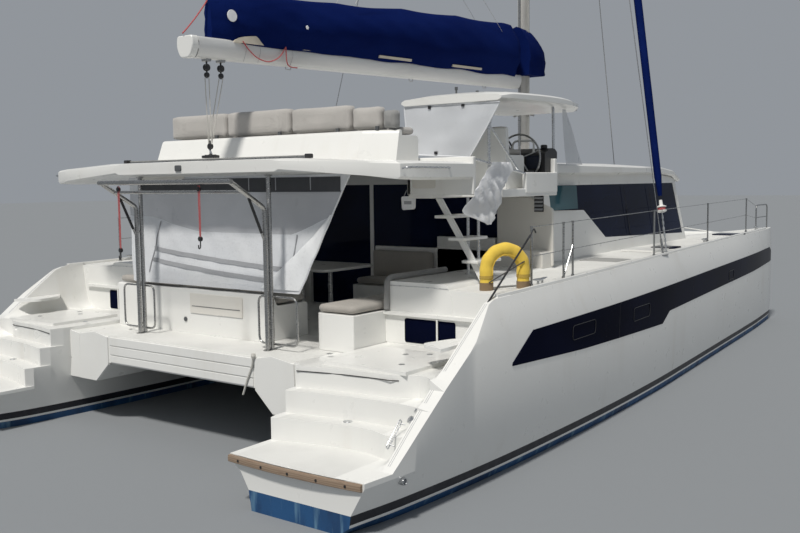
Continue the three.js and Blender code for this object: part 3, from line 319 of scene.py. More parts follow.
STRAP = canvas("grey_webbing", (0.36, 0.37, 0.39), (0.30, 0.31, 0.33))
MESH_CLOTH = canvas("dark_mesh_cloth", (0.035, 0.038, 0.045), (0.05, 0.053, 0.06))
CLEAR = vinyl("hazy_clear_vinyl", (0.62, 0.63, 0.66), 0.62)
SCREEN = vinyl("helm_side_vinyl", (0.62, 0.64, 0.66), 0.45)
HAZE = vinyl("hazy_white_vinyl", (0.66, 0.68, 0.71), 0.8)
PALE_CLOTH = canvas("pale_corner_cloth", (0.80, 0.82, 0.84), (0.84, 0.85, 0.86))
BLACK = plastic("black_moulding", (0.018, 0.018, 0.02), 0.38)
DARK_GREY = plastic("dark_grey_moulding", (0.08, 0.085, 0.09), 0.45)
DISPLAY = tinted_glass("instrument_display", (0.012, 0.016, 0.03), 0.6)
BOOT_BLACK = plastic("black_boot_stripe", (0.010, 0.011, 0.018), 0.5)
BOTTOM = bottom_paint("blue_antifouling")
TEAK = teak("weathered_teak")
YELLOW = canvas("yellow_buoy_cover", (0.80, 0.56, 0.07), (0.68, 0.43, 0.05), 0.1)
CREAM_SAIL = canvas("cream_sailcloth", (0.66, 0.60, 0.49), (0.56, 0.50, 0.41))
OLIVE_STRAP = canvas("yellow_webbing", (0.46, 0.31, 0.05), (0.38, 0.27, 0.06), 0.1)
BROWN_CLOTH = canvas("brown_buoy_ends", (0.22, 0.15, 0.08), (0.17, 0.11, 0.06), 0.1)
RED_ROPE = rope_finish("red_flecked_rope", (0.46, 0.03, 0.04), (0.62, 0.40, 0.38))
PALE_ROPE = rope_finish("white_rope", (0.60, 0.585, 0.54), (0.40, 0.40, 0.38))
BLUE_ROPE = rope_finish("blue_flecked_rope", (0.10, 0.14, 0.26), (0.5, 0.5, 0.48))
BLACK_ROPE = rope_finish("black_rope", (0.03, 0.03, 0.033), (0.10, 0.10, 0.10))
NET_CORD = rope_finish("net_cord", (0.64, 0.64, 0.61), (0.52, 0.52, 0.49))
BRONZE = steel("cast_bronze", (0.50, 0.34, 0.14))


SLOT_FINISHES = {
    "gelcoat": [WHITE, LINER, DECK, GREY_DECK],
    "tinted_glass": [GLASS, PANE, TEAL],
    "stainless": [STEEL, DARK_STEEL],
    "anodised": [SPAR, BOOM_PAINT],
    "upholstery": [CUSHION, PALE_CUSHION, DARK_CUSHION],
    "navy_canvas": [NAVY],
    "silver_cloth": [SILVER],
    "clear_curtain": [WHITE_CLOTH, CLEAR, SCREEN, HAZE, PALE_CLOTH],
    "black_fittings": [BLACK, DARK_GREY],
    "net": [NET_CORD],
    "yellow_foam": [YELLOW],
}
SLOTS = {material: slot for slot, materials in SLOT_FINISHES.items() for material in materials}


# Shapes
def around(spot, side, up, reach, sides):
    """The points of a ring about a spot. side and up give its two axes, reach scales both."""
    turns = (math.tau * i / sides for i in range(sides))
    return [spot + (side * math.cos(a) + up * math.sin(a)) * reach for a in turns]


def quads(count, rows):
    """The faces between rows of rings of count points, ring by ring."""
    return [
        (r * count + i, r * count + (i + 1) % count, (r + 1) * count + (i + 1) % count, (r + 1) * count + i)
        for r in range(rows) for i in range(count)
    ]


class Form:
    """Closed solids gathered into one mesh, each marked with the number of its material."""

    def __init__(self):
        self.points = []
        self.faces = []
        self.marks = []

    def add(self, points, faces, mark=0):
        first = len(self.points)
        self.points += [tuple(p) for p in points]
        self.faces += [tuple(first + i for i in face) for face in faces]
        self.marks += [mark] * len(faces)
        return self

    def loft(self, rings, mark=0, caps=True):
        """A skin through rings of as many points each."""
        count = len(rings[0])
        faces = quads(count, len(rings) - 1)
        if caps:
            last = (len(rings) - 1) * count
            faces += [tuple(range(count))[::-1], tuple(last + i for i in range(count))]
        return self.add([p for ring in rings for p in ring], faces, mark)

    def prism(self, axis, outline, low, high, mark=0):
        """An outline across an axis, drawn out along it. Across y it is x, z; across x, y, z."""
        spots = {"x": (2, 0, 1), "y": (0, 2, 1), "z": (0, 1, 2)}[axis]
        rings = [[[(u, v, w)[k] for k in spots] for u, v in outline] for w in (low, high)]
        return self.loft(rings, mark)

    def box(self, x, y, z, mark=0):
        outline = [(x[0], y[0]), (x[1], y[0]), (x[1], y[1]), (x[0], y[1])]
        return self.prism("z", outline, z[0], z[1], mark)

    def tube(self, path, radius, sides=12, mark=0, radii=None):
        """A round tube along a path. radii gives a radius for each point of it."""
        path = [Vector(p) for p in path]
        rings = []
        ahead = (path[1] - path[0]).normalized()
        side = ahead.orthogonal().normalized()
        for k, point in enumerate(path):
            before = path[max(k - 1, 0)]
            after = path[min(k + 1, len(path) - 1)]
            ahead = (after - before).normalized()
            side = (side - ahead * side.dot(ahead)).normalized()
            up = ahead.cross(side)
            reach = radii[k] if radii else radius
            rings.append(around(point, side, up, reach, sides))
        return self.loft(rings, mark)

    def turned(self, profile, spot, axis=(0, 0, 1), sides=16, mark=0):
        """A profile of distance along the axis and radius, turned about it."""
        axis = Vector(axis).normalized()
        side = axis.orthogonal().normalized()
        up = axis.cross(side)
        rings = [around(Vector(spot) + axis * along, side, up, radius, sides) for along, radius in profile]
        return self.loft(rings, mark)

    def build(self, name, materials, body="root", bevel=0.0, segments=2, angle=30, replaces=(), merge=False):
        mesh = bpy.data.meshes.new(name)
        mesh.from_pydata(self.points, [], self.faces)
        for material in materials:
            mesh.materials.append(material)
        mesh.polygons.foreach_set("material_index", self.marks)
        shape = bmesh.new()
        shape.from_mesh(mesh)
        if merge:
            bmesh.ops.remove_doubles(shape, verts=shape.verts, dist=2e-5)
        bmesh.ops.recalc_face_normals(shape, faces=shape.faces)
        shape.to_mesh(mesh)
        shape.free()
        piece = bpy.data.objects.new(name, mesh)
        bpy.context.scene.collection.objects.link(piece)
        mesh.shade_smooth()
        if bevel:
            edges = piece.modifiers.new("edges", "BEVEL")
            edges.width = bevel
            edges.segments = segments
            edges.limit_method = "ANGLE"
            edges.angle_limit = math.radians(angle)
            edges.harden_normals = True
        else:
            mesh.set_sharp_from_angle(angle=math.radians(angle))
        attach(piece, body)
        if replaces:
            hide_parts(*replaces)
        return piece


def corner(before, at, after, bend, steps):
    """A corner of a route, rounded over the bend length or up to nearly half of a shorter side."""
    start = at + (before - at).normalized() * min(bend, (before - at).length * 0.49)
    end = at + (after - at).normalized() * min(bend, (after - at).length * 0.49)
    shares = (k / steps for k in range(steps + 1))
    return [start * (1 - t) ** 2 + at * 2 * t * (1 - t) + end * t * t for t in shares]


def rounded(corners, bend):
    """A closed flat outline with its corners rounded. bend is one length, or one for each corner."""
    count = len(corners)
    bends = bend if isinstance(bend, (list, tuple)) else [bend] * count
    route = []
    for k in range(count):
        before, at, after = (Vector(corners[(k + d) % count]) for d in (-1, 0, 1))
        route += [tuple(p) for p in corner(before, at, after, bends[k], 4)]
    return route


def plate(low, high, bend):
    """The rounded outline of a rectangle between two corners."""
    (u0, v0), (u1, v1) = low, high
    return rounded([(u0, v0), (u1, v0), (u1, v1), (u0, v1)], bend)


def eased(corners, bend, steps=5):
    """The route through corners, with each of them rounded over the bend length."""
    corners = [Vector(p) for p in corners]
    route = [corners[0]]
    for before, at, after in zip(corners, corners[1:], corners[2:]):
        route += corner(before, at, after, bend, steps)
    route.append(corners[-1])
    return route


def sagging(start, end, sag):
    """A slack line between two points."""
    start, end = Vector(start), Vector(end)
    shares = [k / 12 for k in range(13)]
    return [start.lerp(end, t) - Vector((0, 0, sag * 4 * t * (1 - t))) for t in shares]


def row_before(table, at):
    """The number of the row from which a value of the first column is reached."""
    return next((i for i in range(len(table) - 2) if at <= table[i + 1][0]), len(table) - 2)


def between(table, at):
    """The other columns of a table at one value of its first, on a smooth curve through its rows."""
    k = row_before(table, at)
    low, high = table[k], table[k + 1]
    before = table[max(k - 1, 0)]
    after = table[min(k + 2, len(table) - 1)]
    span = high[0] - low[0]
    t = (at - low[0]) / span
    values = []
    for c in range(1, len(low)):
        slope_low = (high[c] - before[c]) / (high[0] - before[0]) * span
        slope_high = (after[c] - low[c]) / (after[0] - low[0]) * span
        values.append(
            low[c] * (2 * t ** 3 - 3 * t ** 2 + 1) + slope_low * (t ** 3 - 2 * t ** 2 + t)
            + high[c] * (3 * t ** 2 - 2 * t ** 3) + slope_high * (t ** 3 - t ** 2)
        )
    return values


def straight(table, at):
    """As between, with straight lines from row to row."""
    k = row_before(table, at)
    low, high = table[k], table[k + 1]
    t = (at - low[0]) / (high[0] - low[0])
    return [a + (b - a) * t for a, b in zip(low[1:], high[1:])]


def named(side):
    return "starboard" if side == STARBOARD else "port"


# Camera, light and floor
def camera():
    """The camera of the photograph, from astern on the starboard side."""
    data = bpy.data.cameras.new("camera")
    data.lens = CAMERA_LENS
    data.sensor_width = SENSOR_WIDTH
    data.clip_end = CLIP_END
    made = bpy.data.objects.new("camera", data)
    bpy.context.scene.collection.objects.link(made)
    level = Vector((math.sin(CAMERA_YAW), -math.cos(CAMERA_YAW), 0))
    ahead = Vector((
        math.cos(CAMERA_YAW) * math.cos(CAMERA_PITCH), math.sin(CAMERA_YAW) * math.cos(CAMERA_PITCH),
        math.sin(CAMERA_PITCH),
    ))
    above = level.cross(ahead)
    right = level * math.cos(CAMERA_ROLL) + above * math.sin(CAMERA_ROLL)
    up = above * math.cos(CAMERA_ROLL) - level * math.sin(CAMERA_ROLL)
    made.matrix_world = Matrix.Translation(CAMERA_SPOT) @ Matrix((right, up, -ahead)).transposed().to_4x4()
    bpy.context.scene.camera = made


def studio():
    """The even sky, the sun from high astern and the floor at the water's height."""
    world = bpy.data.worlds.new("studio")
    world.use_nodes = True
    backdrop = world.node_tree.nodes["Background"]
    backdrop.inputs["Color"].default_value = SKY_COLOR
    backdrop.inputs["Strength"].default_value = SKY_STRENGTH
    bpy.context.scene.world = world
    sun = bpy.data.lights.new("key", "SUN")
    sun.energy = SUN_STRENGTH
    sun.angle = SUN_WIDTH
    sun.color = SUN_COLOR
    key = bpy.data.objects.new("key", sun)
    bpy.context.scene.collection.objects.link(key)
    key.rotation_mode = "QUATERNION"
    key.rotation_quaternion = Vector(SUN_FROM).to_track_quat("Z", "Y")
    bpy.context.scene.view_settings.view_transform = "Standard"
    floor = Form().box((-FLOOR_REACH, FLOOR_REACH), (-FLOOR_REACH, FLOOR_REACH), (-0.02, 0))
    mesh = bpy.data.meshes.new("floor")
    mesh.from_pydata(floor.points, [], floor.faces)
    plain = Finish("pale_floor", FLOOR_COLOR, 0.9)
    plain.rough(0.4, 3.0, 0.85, 0.95)
    mesh.materials.append(plain.material)
    piece = bpy.data.objects.new("floor", mesh)
    bpy.context.scene.collection.objects.link(piece)


# Hulls: half-widths are measured from each hull's own centreline
HULL_SECTIONS = [
    # x, outboard, chine, boot top, inboard, waterline, depth, knuckle z, deck z
    (-7.66, 0.920, 0.880, 0.720, 0.780, 0.500, 0.060, 1.480, 1.880),
    (-7.00, 0.960, 0.930, 0.800, 0.800, 0.660, 0.230, 1.490, 1.880),
    (-5.60, 1.000, 0.970, 0.880, 0.830, 0.760, 0.480, 1.500, 1.880),
    (-4.00, 0.980, 0.950, 0.890, 0.830, 0.790, 0.640, 1.515, 1.905),
    (-2.40, 0.930, 0.895, 0.860, 0.830, 0.780, 0.720, 1.530, 1.930),
    (-0.80, 0.840, 0.810, 0.790, 0.830, 0.720, 0.750, 1.545, 1.945),
    (0.50, 0.740, 0.715, 0.700, 0.830, 0.640, 0.750, 1.555, 1.955),
    (3.20, 0.530, 0.510, 0.495, 0.830, 0.440, 0.700, 1.580, 1.970),
    (4.70, 0.410, 0.395, 0.380, 0.640, 0.330, 0.650, 1.590, 1.980),
    (5.90, 0.300, 0.290, 0.280, 0.420, 0.240, 0.570, 1.600, 1.985),
    (6.90, 0.190, 0.185, 0.175, 0.210, 0.140, 0.480, 1.610, 1.990),
    (7.45, 0.120, 0.115, 0.108, 0.120, 0.080, 0.380, 1.612, 1.995),
    (7.70, 0.050, 0.048, 0.044, 0.050, 0.030, 0.280, 1.615, 2.000),
]
STERN_X = HULL_SECTIONS[0][0]
BOW_X = HULL_SECTIONS[-1][0]
CHAMFER = 0.15
TOE_DEPTH = 0.085
BULWARK_LINE = [
    # x, height of the bulwark's cap
    (-7.8, PLATFORM_Z), (-7.3, PLATFORM_Z), (-6.96, 0.80), (-6.52, 1.15), (-5.58, 1.84),
    (-5.38, 1.9), (8, 1.9),
]
TREAD_XS = (-7.0, -6.75, -6.55)
STAIR_PLAN = [
    # distance outboard, x of each riser there
    (-0.83, -7.06, -6.85, -6.69), (-0.77, -7.11, -6.89, -6.73), (-0.30, -6.98, -6.78, -6.62),
    (0.10, -6.92, -6.73, -6.58), (0.35, -6.91, -6.71, -6.57), (0.60, -7.00, -6.72, -6.44),
    (0.80, -7.02, -6.73, -6.43),
]
STAIR_SPAN = (-7.35, -6.15)
BOOT_BANDS = {"paint": 0.085, "line": 0.115, "black": 0.20}
CHINE_Z = 0.47


def deck_z(x):
    return between(HULL_SECTIONS, x)[7]


def bulwark_top(x):
    return straight(BULWARK_LINE, x)[0]


def stair_z(x, after):
    """The height of the stern's stairs at x. after picks the far side of a riser."""
    rises = sum(1 for tread in TREAD_XS if x > tread + 1e-6 or (after and abs(x - tread) < 1e-6))
    if rises == len(TREAD_XS):
        return AFT_DECK_Z
    return PLATFORM_Z + rises * STEP_RISE


def stern_bow(across):
    """How far the platform's end is bowed aft."""
    return 0.035 * (1 - (across / 0.78) ** 2)


def stair_shift(x, across):
    """How far a tread's edge lies off its straight line: the risers are slanted and curved in plan."""
    risers = straight(STAIR_PLAN, across)
    table = [(STAIR_SPAN[0], 0.0)]
    table += [(tread, riser - tread) for tread, riser in zip(TREAD_XS, risers)]
    table.append((STAIR_SPAN[1], 0.0))
    shift = straight(table, min(max(x, STAIR_SPAN[0]), STAIR_SPAN[1]))[0]
    stern = max(0.0, (STAIR_SPAN[0] - x) / (STAIR_SPAN[0] - STERN_X))
    return shift - stern * stern_bow(across)


COVE = [
    # distance outboard, share of the bulwark's rise over the tread
    (0.80, 1.0), (0.785, 0.80), (0.765, 0.60), (0.735, 0.38), (0.70, 0.20), (0.655, 0.08), (0.60, 0.015),
]


def stern_cover(x, after):
    """The part of a hull's section that is the bulwark's cove and the stairs."""
    tread = stair_z(x, after)
    rise = max(bulwark_top(x) - tread, 0.001)
    edge = between(HULL_SECTIONS, x)[3] - 0.03
    cove = [(x + stair_shift(x, u) * (1 - share), u, tread + rise * share) for u, share in COVE]
    spots = (0.55, 0.40, 0.20, 0.0, -0.20, -0.45, -0.70, -edge)
    return cove + [(x + stair_shift(x, u), u, tread) for u in spots]


def hull_profile(x):
    """The outboard side and bottom of a hull, from its chine round to the inboard deck edge."""
    _, chine, boot, inboard, water, depth, _, deck = between(HULL_SECTIONS, x)
    low = max(-depth, -0.08)
    outer = [
        (chine, CHINE_Z), (boot, BOOT_BANDS["black"]),
        (boot - 0.012, BOOT_BANDS["line"]), (boot - 0.02, BOOT_BANDS["paint"]),
        (water, low), (water * 0.86, -0.5 * depth - 0.02), (water * 0.5, -0.88 * depth),
        (water * 0.1, -depth),
    ]
    inner = [
        (-water * 0.1, -depth), (-water * 0.5, -0.88 * depth), (-water * 0.86, -0.5 * depth - 0.02),
        (-water, low), (-water - 0.02, BOOT_BANDS["paint"]), (-water - 0.03, BOOT_BANDS["line"]),
        (-water - 0.04, BOOT_BANDS["black"]), (-(water + inboard) / 2, 0.36), (-inboard, 0.76),
        (-inboard, deck),
    ]
    return outer, inner


def side_width(x, z):
    """How far the outboard side stands from the hull's centreline at a height above the chine."""
    outboard, chine, _, _, _, _, knuckle, deck = between(HULL_SECTIONS, x)
    edge = min(CHAMFER, outboard * 0.3)
    if z > knuckle:
        return outboard - edge * (z - knuckle) / (deck - knuckle)
    return chine + (outboard - chine) * (z - CHINE_Z) / (knuckle - CHINE_Z)


def hull_ring(x, after):
    """One section of a hull as x, distance outboard of its centreline and z."""
    inboard, _, _, knuckle, deck = between(HULL_SECTIONS, x)[3:]
    outer, inner = hull_profile(x)
    forward = x > ISLAND_X + 1e-6 or (after and abs(x - ISLAND_X) < 1e-6)
    top = deck if forward else min(bulwark_top(x), deck)
    sheer = min(deck - TOE_DEPTH, top - 0.012)
    shoulder = min(knuckle, sheer - 0.012)
    level = deck if forward else stair_z(x, after)
    skin = [(side_width(x, z), z) for z in (top, sheer, shoulder)] + outer
    skin += inner[:-2] + [(-inboard, min(inner[-2][1], level - 0.04)), (-inboard, level)]
    if forward:
        rim = side_width(x, deck) - 0.01
        inner_rim = 0.03 - inboard if inboard > 0.1 else -inboard * 0.7
        cover = [(x, rim + (inner_rim - rim) * k / 14, deck) for k in range(15)]
    else:
        cover = stern_cover(x, after)
    return [(x, u, z) for u, z in skin] + cover[::-1]


STATION_PITCH = 0.11
FORE_STATION_PITCH = 0.3


def hull_stations():
    """The sections' x, each with the side of a riser that it belongs to."""
    risers = (*TREAD_XS, ISLAND_X)
    spread = [STERN_X + STATION_PITCH * k for k in range(24)]
    spread += [ISLAND_X + FORE_STATION_PITCH * k for k in range(1, 43)]
    kept = (*risers, -7.3, -6.96, -6.52, -5.58, -5.38)
    spread = [x for x in spread if x < BOW_X - 0.05 and all(abs(x - place) > 0.02 for place in kept)]
    stations = [(x, False) for x in (*spread, *kept, BOW_X)]
    return sorted(stations + [(x, True) for x in risers])


KEEL_LEVELS = [
    # z, leading edge x, trailing edge x, half-thickness
    (-0.62, 1.50, -1.30, 0.19), (-1.35, 1.25, -1.05, 0.15),
    (-1.58, 1.08, -0.97, 0.11), (-1.6, 1.03, -0.93, 0.07),
]
# Share of the keel's length from its leading edge, share of its half-thickness
KEEL_SECTION = [(0, 0.05), (0.03, 0.4), (0.08, 0.6), (0.3, 1), (0.6, 0.75), (0.97, 0.12)]
DRIVE_X = -4.3
DRIVE_Z = -1.15
DRIVE_LEG = [(0.19, 0), (0.12, 0.04), (0.0, 0.05), (-0.11, 0.04), (-0.2, 0)]
GEAR_CASE = [(-0.23, 0.002), (-0.215, 0.04), (-0.1, 0.085), (0.12, 0.085), (0.24, 0.06), (0.27, 0.002)]
BOTTOM_MARK = 2


def keel_and_drive(form, side):
    """A stub keel, and the drive leg under the engine with its gear case."""
    rings = []
    for z, front, back, half in KEEL_LEVELS:
        flank = [(front - along * (front - back), half * thick) for along, thick in KEEL_SECTION]
        outline = flank + [(x, -y) for x, y in flank[::-1]]
        rings.append([(x, side * HULL_Y + y, z) for x, y in outline])
    form.loft(rings, BOTTOM_MARK)
    plan = DRIVE_LEG + [(x, -y) for x, y in DRIVE_LEG[-2:0:-1]]
    leg = [[(DRIVE_X + x, side * HULL_Y + y, z) for x, y in plan] for z in (-0.5, DRIVE_Z)]
    form.loft(leg, BOTTOM_MARK)
    form.turned(GEAR_CASE, (DRIVE_X, side * HULL_Y, DRIVE_Z), (1, 0, 0), 20, BOTTOM_MARK)


# The materials round a section: 0 gelcoat, 1 black stripe, 2 bottom paint, 3 non-slip deck
SKIN_MARKS = [0, 0, 0, 0, 1, 0] + [2] * 9 + [0, 1, 0, 0, 0, 0, 0]
STERN_MARKS = SKIN_MARKS + [3] * 6 + [0] * 8
FORE_MARKS = SKIN_MARKS + [3] * 11 + [0] * 3
BLACK_RING = (4, 17)
NARROW_DECK_X = 7.3


def hull_shell(side):
    """Topsides, bulwark, stairs, decks and bottom in one skin, coloured band by band."""
    form = Form()
    stations = hull_stations()
    rings = [hull_ring(x, after) for x, after in stations]
    count = len(rings[0])
    form.points = [(x, side * (HULL_Y + u), z) for ring in rings for x, u, z in ring]
    form.faces = quads(count, len(rings) - 1)
    for (x, _), (following, _) in zip(stations, stations[1:]):
        marks = FORE_MARKS if x > ISLAND_X - 0.01 else STERN_MARKS
        form.marks += [0] * count if x == following or x > NARROW_DECK_X else marks
    last = (len(rings) - 1) * count
    start, end = BLACK_RING
    white = (*range(start + 1), *range(end, count))
    form.faces += [white[::-1], tuple(range(start, end + 1))[::-1], tuple(last + i for i in range(count))]
    form.marks += [0, BOTTOM_MARK, 0]
    keel_and_drive(form, side)
    return form.build(
        f"hull_shell_{named(side)}", [WHITE, BOOT_BLACK, BOTTOM, DECK], bevel=0.012, segments=3, angle=24,
        replaces=[f"hull_{named(side)}"], merge=True,
    )


def along_hull(form, side, xs, section):
    """A strip along a hull. section gives its ring of (distance outboard, z) at each x."""
    form.loft([[(x, side * (HULL_Y + u), z) for u, z in section(x)] for x in xs])


def span(start, end, count):
    return [start + (end - start) * k / count for k in range(count + 1)]


# The lower and upper edge of the glazing: x, height there
BAND_LOW = [
    (-5.32, 1.17), (-3.6, 1.085), (-0.68, 1.0), (-0.35, 1.15), (2.16, 1.19), (5.37, 1.235), (7.38, 1.29),
]
BAND_HIGH = [(-5.32, 1.20), (-4.88, 1.50), (-4.87, 1.50), (7.2, 1.60), (7.38, 1.52)]
BAND_PROUD = 0.008
PORTS = [
    # x from, x to, z low, z high
    (-3.9, -3.25, 1.235, 1.405), (-1.95, -1.3, 1.20, 1.38), (3.28, 3.63, 1.26, 1.42),
]


def window_band(side):
    """The dark glazing along the topsides, with the frames of its opening ports."""
    band = Form()
    xs = {x for (start, _), (end, _) in zip(BAND_LOW, BAND_LOW[1:]) for x in span(start, end, 10)}
    xs = sorted({*xs, -4.88, -4.87})

    def section(x):
        low = straight(BAND_LOW, x)[0]
        high = min(straight(BAND_HIGH, x)[0], between(HULL_SECTIONS, x)[6] - 0.012)
        outside = [(side_width(x, z) + BAND_PROUD, z) for z in (low, (low + high) / 2, high)]
        return outside + [(u - 0.03, z) for u, z in outside[::-1]]

    along_hull(band, side, xs, section)
    band.build(
        f"hull_glazing_{named(side)}", [GLASS], bevel=0.004, angle=50,
        replaces=[f"hull_window_{named(side)}"], merge=True,
    )
    frames = Form()
    for start, end, low, high in PORTS:
        outline = plate((start, low), (end, high), 0.05)
        points = [(x, side * (HULL_Y + side_width(x, z) + BAND_PROUD + 0.004), z) for x, z in outline]
        frames.tube(points + points[:2], 0.004, 6)
    for x in (-2.45, 0.9, 4.2):
        low = straight(BAND_LOW, x)[0] + 0.01
        high = between(HULL_SECTIONS, x)[6] - 0.02
        levels = (low, (low + high) / 2, high)
        seam = [(x, side * (HULL_Y + side_width(x, z) + BAND_PROUD), z) for z in levels]
        frames.tube(seam, 0.002, 6)
    frames.build(f"glazing_seams_{named(side)}", [BLACK])


TOE_RAIL = ((0.008, 0.0), (0.014, 0.034), (0.044, 0.036), (0.052, 0.0))


def deck_edge(side):
    """The bright toe rail with its seat along the edge of the deck."""
    rail = Form()

    def section(x):
        edge, deck = side_width(x, deck_z(x)), deck_z(x)
        return [(edge - u, deck + z) for u, z in TOE_RAIL]

    along_hull(rail, side, span(-5.36, 7.1, 70), section)
    rail.build(f"toe_rail_{named(side)}", [WHITE], bevel=0.006, merge=True)


def bulwark_lines(side):
    """The two fine lines along the cap of the bulwark, and the fittings in its cove."""
    lines = Form()
    for u in (0.822, 0.842):
        xs = (-7.25, -6.96, -6.52, -6.0, -5.58)
        path = [(x, side * (HULL_Y + u), bulwark_top(x) + 0.001) for x in xs]
        lines.tube(path, 0.002, 6)
    lines.build(f"bulwark_lines_{named(side)}", [STRAP])
    fittings = Form()
    away = Vector((-0.55, -side * 0.6, 0.58))
    for x, z, radius in ((-6.73, 0.97, 0.026), (-6.83, 0.895, 0.038)):
        spot = (x, side * (HULL_Y + 0.765), z)
        cap = [(-0.03, radius), (0.006, radius), (0.010, radius * 0.8), (0.006, radius * 0.6)]
        fittings.turned(cap, spot, away, 20)
    held = side * (HULL_Y + 0.735)
    ring = [(-6.915, held, 0.885), (-7.135, held, 0.675), (-7.16, held, 0.705), (-6.94, held, 0.915)]
    fittings.tube(rounded(ring, 0.02), 0.0065, 10)
    for x, z in ((-6.95, 0.88), (-7.12, 0.72)):
        fittings.tube([(x, held, z), (x + 0.01, side * (HULL_Y + 0.79), z - 0.01)], 0.0065, 10)
    fittings.build(f"stern_wall_fittings_{named(side)}", [STEEL])


def stern_trim(side):
    """The teak rail across the platform's end, the exhaust, the step's lamp and a painted shadow line in the
    slot under the top step's edge.
    """
    rail = Form()
    section = [(0.004, 0.442), (0.036, 0.448), (0.040, 0.479), (0.036, 0.510), (0.004, 0.516)]
    rail.loft([
        [(STERN_X - stern_bow(u) - x, side * (HULL_Y + u), z) for x, z in section]
        for u in span(-0.775, 0.86, 20)
    ])
    rail.build(f"teak_stern_rail_{named(side)}", [TEAK], bevel=0.004)
    bolts_and_shadow_line = Form()
    for u in (-0.62, -0.3, 0.04, 0.38, 0.7):
        spot = (STERN_X - stern_bow(u) - 0.038, side * (HULL_Y + u), 0.479)
        bolts_and_shadow_line.turned([(0, 0.013), (0.005, 0.013), (0.007, 0.006)], spot, (-1, 0, 0), 12)
    # Painted shadow: the thin black tube along the top riser, just under the aft deck's edge, stands for the
    # shade in the gap there.
    slot = [
        (straight(STAIR_PLAN, u)[2] - 0.002, side * (HULL_Y + u), AFT_DECK_Z - 0.055)
        for u in span(-0.76, 0.42, 14)
    ]
    bolts_and_shadow_line.tube(slot, 0.006, 6)
    bolts_and_shadow_line.build(f"stern_rail_bolts_and_painted_shadow_{named(side)}", [BLACK])
    pipe = Form()
    outer = side * (HULL_Y + side_width(-7.15, PLATFORM_Z) - 0.035)
    exhaust = [(0, 0.036), (0.05, 0.036), (0.05, 0.026), (0.02, 0.026)]
    pipe.turned(exhaust, (-7.15, outer, 0.415), (0, side, 0), 20)
    lamp = (straight(STAIR_PLAN, 0.0)[0] + 0.125, side * (HULL_Y - 0.01), PLATFORM_Z + STEP_RISE)
    pipe.turned([(0, 0.048), (0.008, 0.044)], lamp, sides=24)
    pipe.build(f"exhaust_and_lamp_{named(side)}", [STEEL], bevel=0.003)


def aft_deck(side):
    """The flush fittings and the shelf on the deck over the engine."""
    fittings = Form()
    for x, u in ((-5.77, -0.06), (-6.23, 0.23), (-5.63, 0.16), (-6.18, -0.78)):
        spot = (x, side * (HULL_Y + u), AFT_DECK_Z + 0.036)
        fittings.turned([(0, 0.034), (0.004, 0.034), (0.007, 0.02)], spot)
    fittings.build(f"deck_fillers_{named(side)}", [STEEL])
    shelf = Form()
    plan = [(-6.30, 0.76), (-6.15, 0.40), (-5.70, 0.52), (-5.55, 0.76)]
    outline = rounded([(x, side * (HULL_Y + u)) for x, u in plan], [0.001, 0.12, 0.12, 0.001])
    shelf.prism("z", outline, 1.44, 1.475)
    shelf.build(f"bulwark_shelf_{named(side)}", [WHITE], bevel=0.01)


CLEAT_SIZE = 1.1


def cleat_on(form, spot):
    """A mooring cleat: two feet under a horn that tapers to both ends."""
    spot = Vector(spot)
    along = Vector((1, 0, 0))
    for reach in (-0.045, 0.045):
        foot = spot + along * reach * CLEAT_SIZE
        form.tube([foot, foot + UP * 0.05 * CLEAT_SIZE], 0.014 * CLEAT_SIZE, 10)
    ends = ((0.15, 0.006), (0.1, 0.012), (0.05, 0.016))
    stations = [(-reach, radius) for reach, radius in ends] + [(0.0, 0.016), *ends[::-1]]
    horn = [
        spot + along * reach * CLEAT_SIZE + UP * (0.055 + 0.012 * abs(reach) / 0.15) * CLEAT_SIZE
        for reach, _ in stations
    ]
    form.tube(horn, None, 10, radii=[radius * CLEAT_SIZE for _, radius in stations])


ISLAND_SECTION = [(-0.84, 1.23), (0.10, 1.23), (0.10, 1.80), (0.03, 1.95), (-0.80, 1.95), (-0.84, 1.90)]


def island(side):
    """The moulded block beside the cockpit, with the aft cabin's window in its after face."""

    def on_hull(outline):
        return [(side * (HULL_Y + u), z) for u, z in outline]

    form = Form()
    section = rounded(ISLAND_SECTION, [0.001, 0.001, 0.05, 0.05, 0.04, 0.03])
    form.prism("x", on_hull(section), ISLAND_X - 0.004, BULKHEAD_X - 0.02)
    lip = plate((-0.84, 1.56), (0.66, 1.60), 0.008)
    form.prism("x", on_hull(lip), ISLAND_X - 0.045, ISLAND_X + 0.02)
    form.build(f"cockpit_side_block_{named(side)}", [WHITE], bevel=0.012)
    glass = Form()
    window = plate((-0.56, 1.25), (0.14, 1.53), 0.03)
    glass.prism("x", on_hull(window), ISLAND_X - 0.010, ISLAND_X + 0.01)
    glass.build(f"aft_cabin_window_{named(side)}", [GLASS], bevel=0.003)
    line = Form().tube([(ISLAND_X - 0.006, side * (HULL_Y + u), 1.90) for u in (-0.80, 0.05)], 0.004, 8)
    rod = side * (HULL_Y - 0.09)
    line.tube([(ISLAND_X - 0.03, rod, 1.26), (ISLAND_X - 0.03, rod, 1.55)], 0.012, 10, 1)
    line.build(f"side_block_trim_{named(side)}", [STEEL, WHITE])
    pad = Form()
    inner = side * (HULL_Y - 0.80)
    path = [(-3.9, inner, 1.985), (ISLAND_X - 0.02, inner, 1.985), (ISLAND_X - 0.03, inner, 1.62)]
    pad.tube(eased(path, 0.10), 0.036, 14)
    made = pad.build(f"side_block_pad_{named(side)}", [DARK_CUSHION])


def hulls():
    for side in SIDES:
        hull_shell(side)
        window_band(side)
        deck_edge(side)
        bulwark_lines(side)
        stern_trim(side)
        aft_deck(side)
        island(side)


# Bridgedeck and cockpit
BEAM_BLOCK = [(1.335, 0.80), (1.60, 0.56), (1.95, 0.56), (1.93, 1.16), (1.60, 1.21), (1.335, 1.16)]
BEAM_REST = [(1.955, 0.56), (2.14, 0.56), (2.14, 1.19), (1.945, 1.16)]


